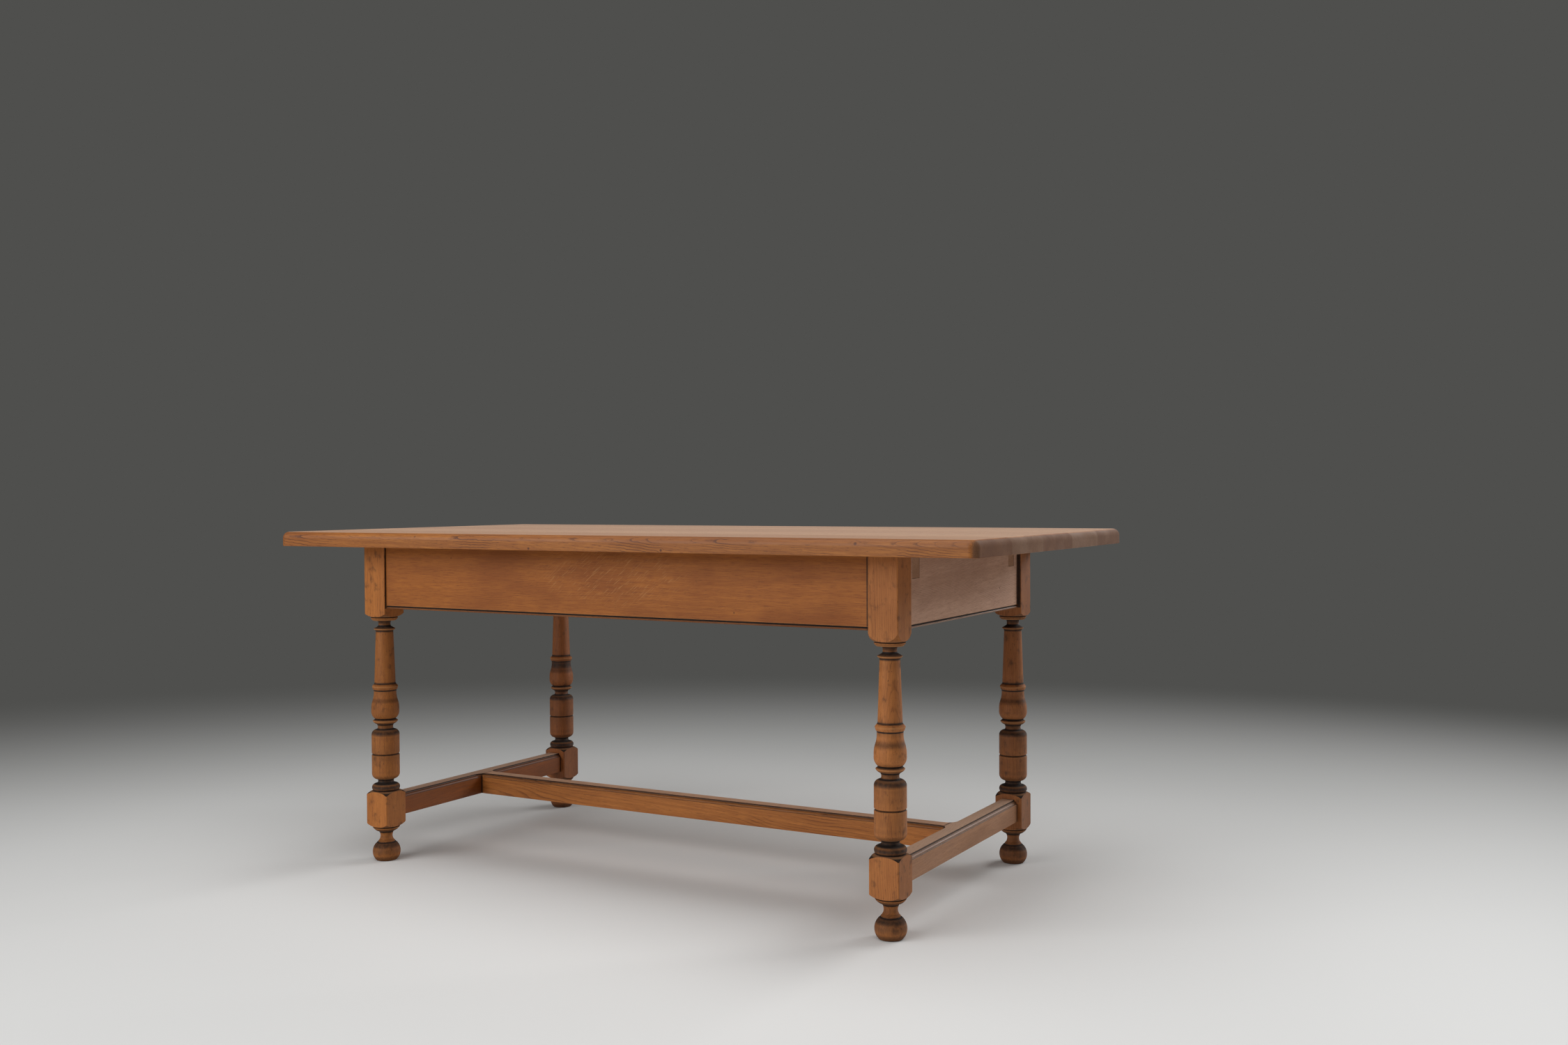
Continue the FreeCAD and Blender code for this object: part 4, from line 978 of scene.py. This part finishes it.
# %% Screws
FILM = 0.7
CLEAN_STEEL, BROWN_FILM = "#8d8a86", "#6b5a4c"
steel = bpy.data.materials.new("screw_steel")
steel.use_nodes = True
tree = steel.node_tree
tree.nodes.clear()
spot = add(tree, "ShaderNodeTexCoord", out="Object")
film = add(tree, "ShaderNodeTexNoise", {"Vector": spot, "Scale": 1 / (FILM * MM), "Detail": 3.0})
tone = add(tree, "ShaderNodeMix", {0: film, 6: linear(CLEAN_STEEL), 7: linear(BROWN_FILM)}, out=2,
           data_type="RGBA")
coarse = add(tree, "ShaderNodeMapRange", {"Value": film, "To Min": 0.3, "To Max": 0.55})
metal = add(tree, "ShaderNodeBsdfPrincipled", {"Base Color": tone, "Roughness": coarse, "Metallic": 1.0})
add(tree, "ShaderNodeOutputMaterial", {"Surface": metal})
screws = frame["nodes"]["button_screws"]
screws.data.materials.clear()
screws.data.materials.append(steel)
print("screws dressed in", steel.name)

# %% [markdown]
# ## Floor, light and camera
# The floor is pale paper where the table stands. Further out it blends into a glow in the grey of the
# surround that no lamp lights: a painted fall-off of the light that ends in a painted backdrop. A broad
# soft light from the front left models the turnings, one overhead fills, one behind on the right gives
# the sheen on the top and the soft shadows that fall towards the front, and a weak one on the right
# lifts the end apron.

# %% Floor
FLOOR_RADIUS = 40
PALE_TO, GREY_FROM = 0.8, 5.15
PALE_MIDDLE = (0.5, -1.5, 0)
PALE_PAPER = "#e6e6e5"
SURROUND = "#4f4f4d"
floor_bm = bmesh.new()
bmesh.ops.create_circle(floor_bm, cap_ends=True, segments=64, radius=FLOOR_RADIUS)
floor_mesh = bpy.data.meshes.new("floor")
floor_bm.to_mesh(floor_mesh)
floor_bm.free()
floor = bpy.data.objects.new("floor", floor_mesh)
scene.collection.objects.link(floor)
paper = bpy.data.materials.new("floor_paper")
paper.use_nodes = True
tree = paper.node_tree
tree.nodes.clear()
spot = add(tree, "ShaderNodeTexCoord", out="Object")
away = add(tree, "ShaderNodeVectorMath", {0: spot, 1: PALE_MIDDLE}, out="Value", operation="DISTANCE")
# Painted fall-off: past PALE_TO the lit paper gives way to a glow in the grey of the surround.
painted_falloff = add(tree, "ShaderNodeMapRange", {"Value": away, "From Min": PALE_TO, "From Max": GREY_FROM},
           interpolation_type="SMOOTHSTEP")
sheet = add(tree, "ShaderNodeBsdfPrincipled", {"Base Color": linear(PALE_PAPER), "Roughness": 0.6})
glow = add(tree, "ShaderNodeEmission", {"Color": linear(SURROUND)})
shade = add(tree, "ShaderNodeMixShader", {0: painted_falloff, 1: sheet, 2: glow})
add(tree, "ShaderNodeOutputMaterial", {"Surface": shade})
floor_mesh.materials.append(paper)
print("floor", FLOOR_RADIUS, "m in radius")


# %% Light
def soft_light(name, place, target, size, watts):
    """A soft white area light that faces a point."""
    light = bpy.data.lights.new(name, "AREA")
    light.shape = "RECTANGLE"
    light.size, light.size_y = size
    light.energy = watts
    lamp = bpy.data.objects.new(name, light)
    scene.collection.objects.link(lamp)
    facing = (Vector(target) - Vector(place)).to_track_quat("-Z", "Y")
    lamp.matrix_world = Matrix.Translation(place) @ facing.to_matrix().to_4x4()
    print(name, "light", watts, "W")


soft_light("key", place=(-2.0, -4.4, 2.6), target=(0, 0, 0.4), size=(4.2, 2.6), watts=142)
soft_light("overhead", place=(0.2, -0.6, 4.6), target=(0, 0, 0), size=(5.0, 4.0), watts=126)
soft_light("back", place=(2.6, 4.2, 2.4), target=(0, 0, 0.6), size=(3.6, 1.4), watts=160)
soft_light("right", place=(4.6, 0.6, 1.1), target=(0.6, 0, 0.5), size=(2.4, 1.8), watts=10)
surround = bpy.data.worlds.new("surround")
surround.use_nodes = True
surround.node_tree.nodes["Background"].inputs["Color"].default_value = linear(SURROUND)
scene.world = surround
scene.view_settings.view_transform = "Standard"

# %% Camera
CAMERA_PLACE = (1.8245, -2.8463, 0.8422)
TURN, TILT, ROLL = 0.51, -0.0195, -0.0049
SENSOR = 36
FOCAL = 33.84
lens = bpy.data.cameras.new("camera")
lens.sensor_fit = "HORIZONTAL"
lens.sensor_width = SENSOR
lens.lens = FOCAL
camera = bpy.data.objects.new("camera", lens)
scene.collection.objects.link(camera)
camera.matrix_world = (Matrix.Translation(CAMERA_PLACE) @ Matrix.Rotation(TURN, 4, "Z")
                       @ Matrix.Rotation(math.pi / 2 + TILT, 4, "X") @ Matrix.Rotation(ROLL, 4, "Z"))
scene.camera = camera
print("camera at", CAMERA_PLACE)
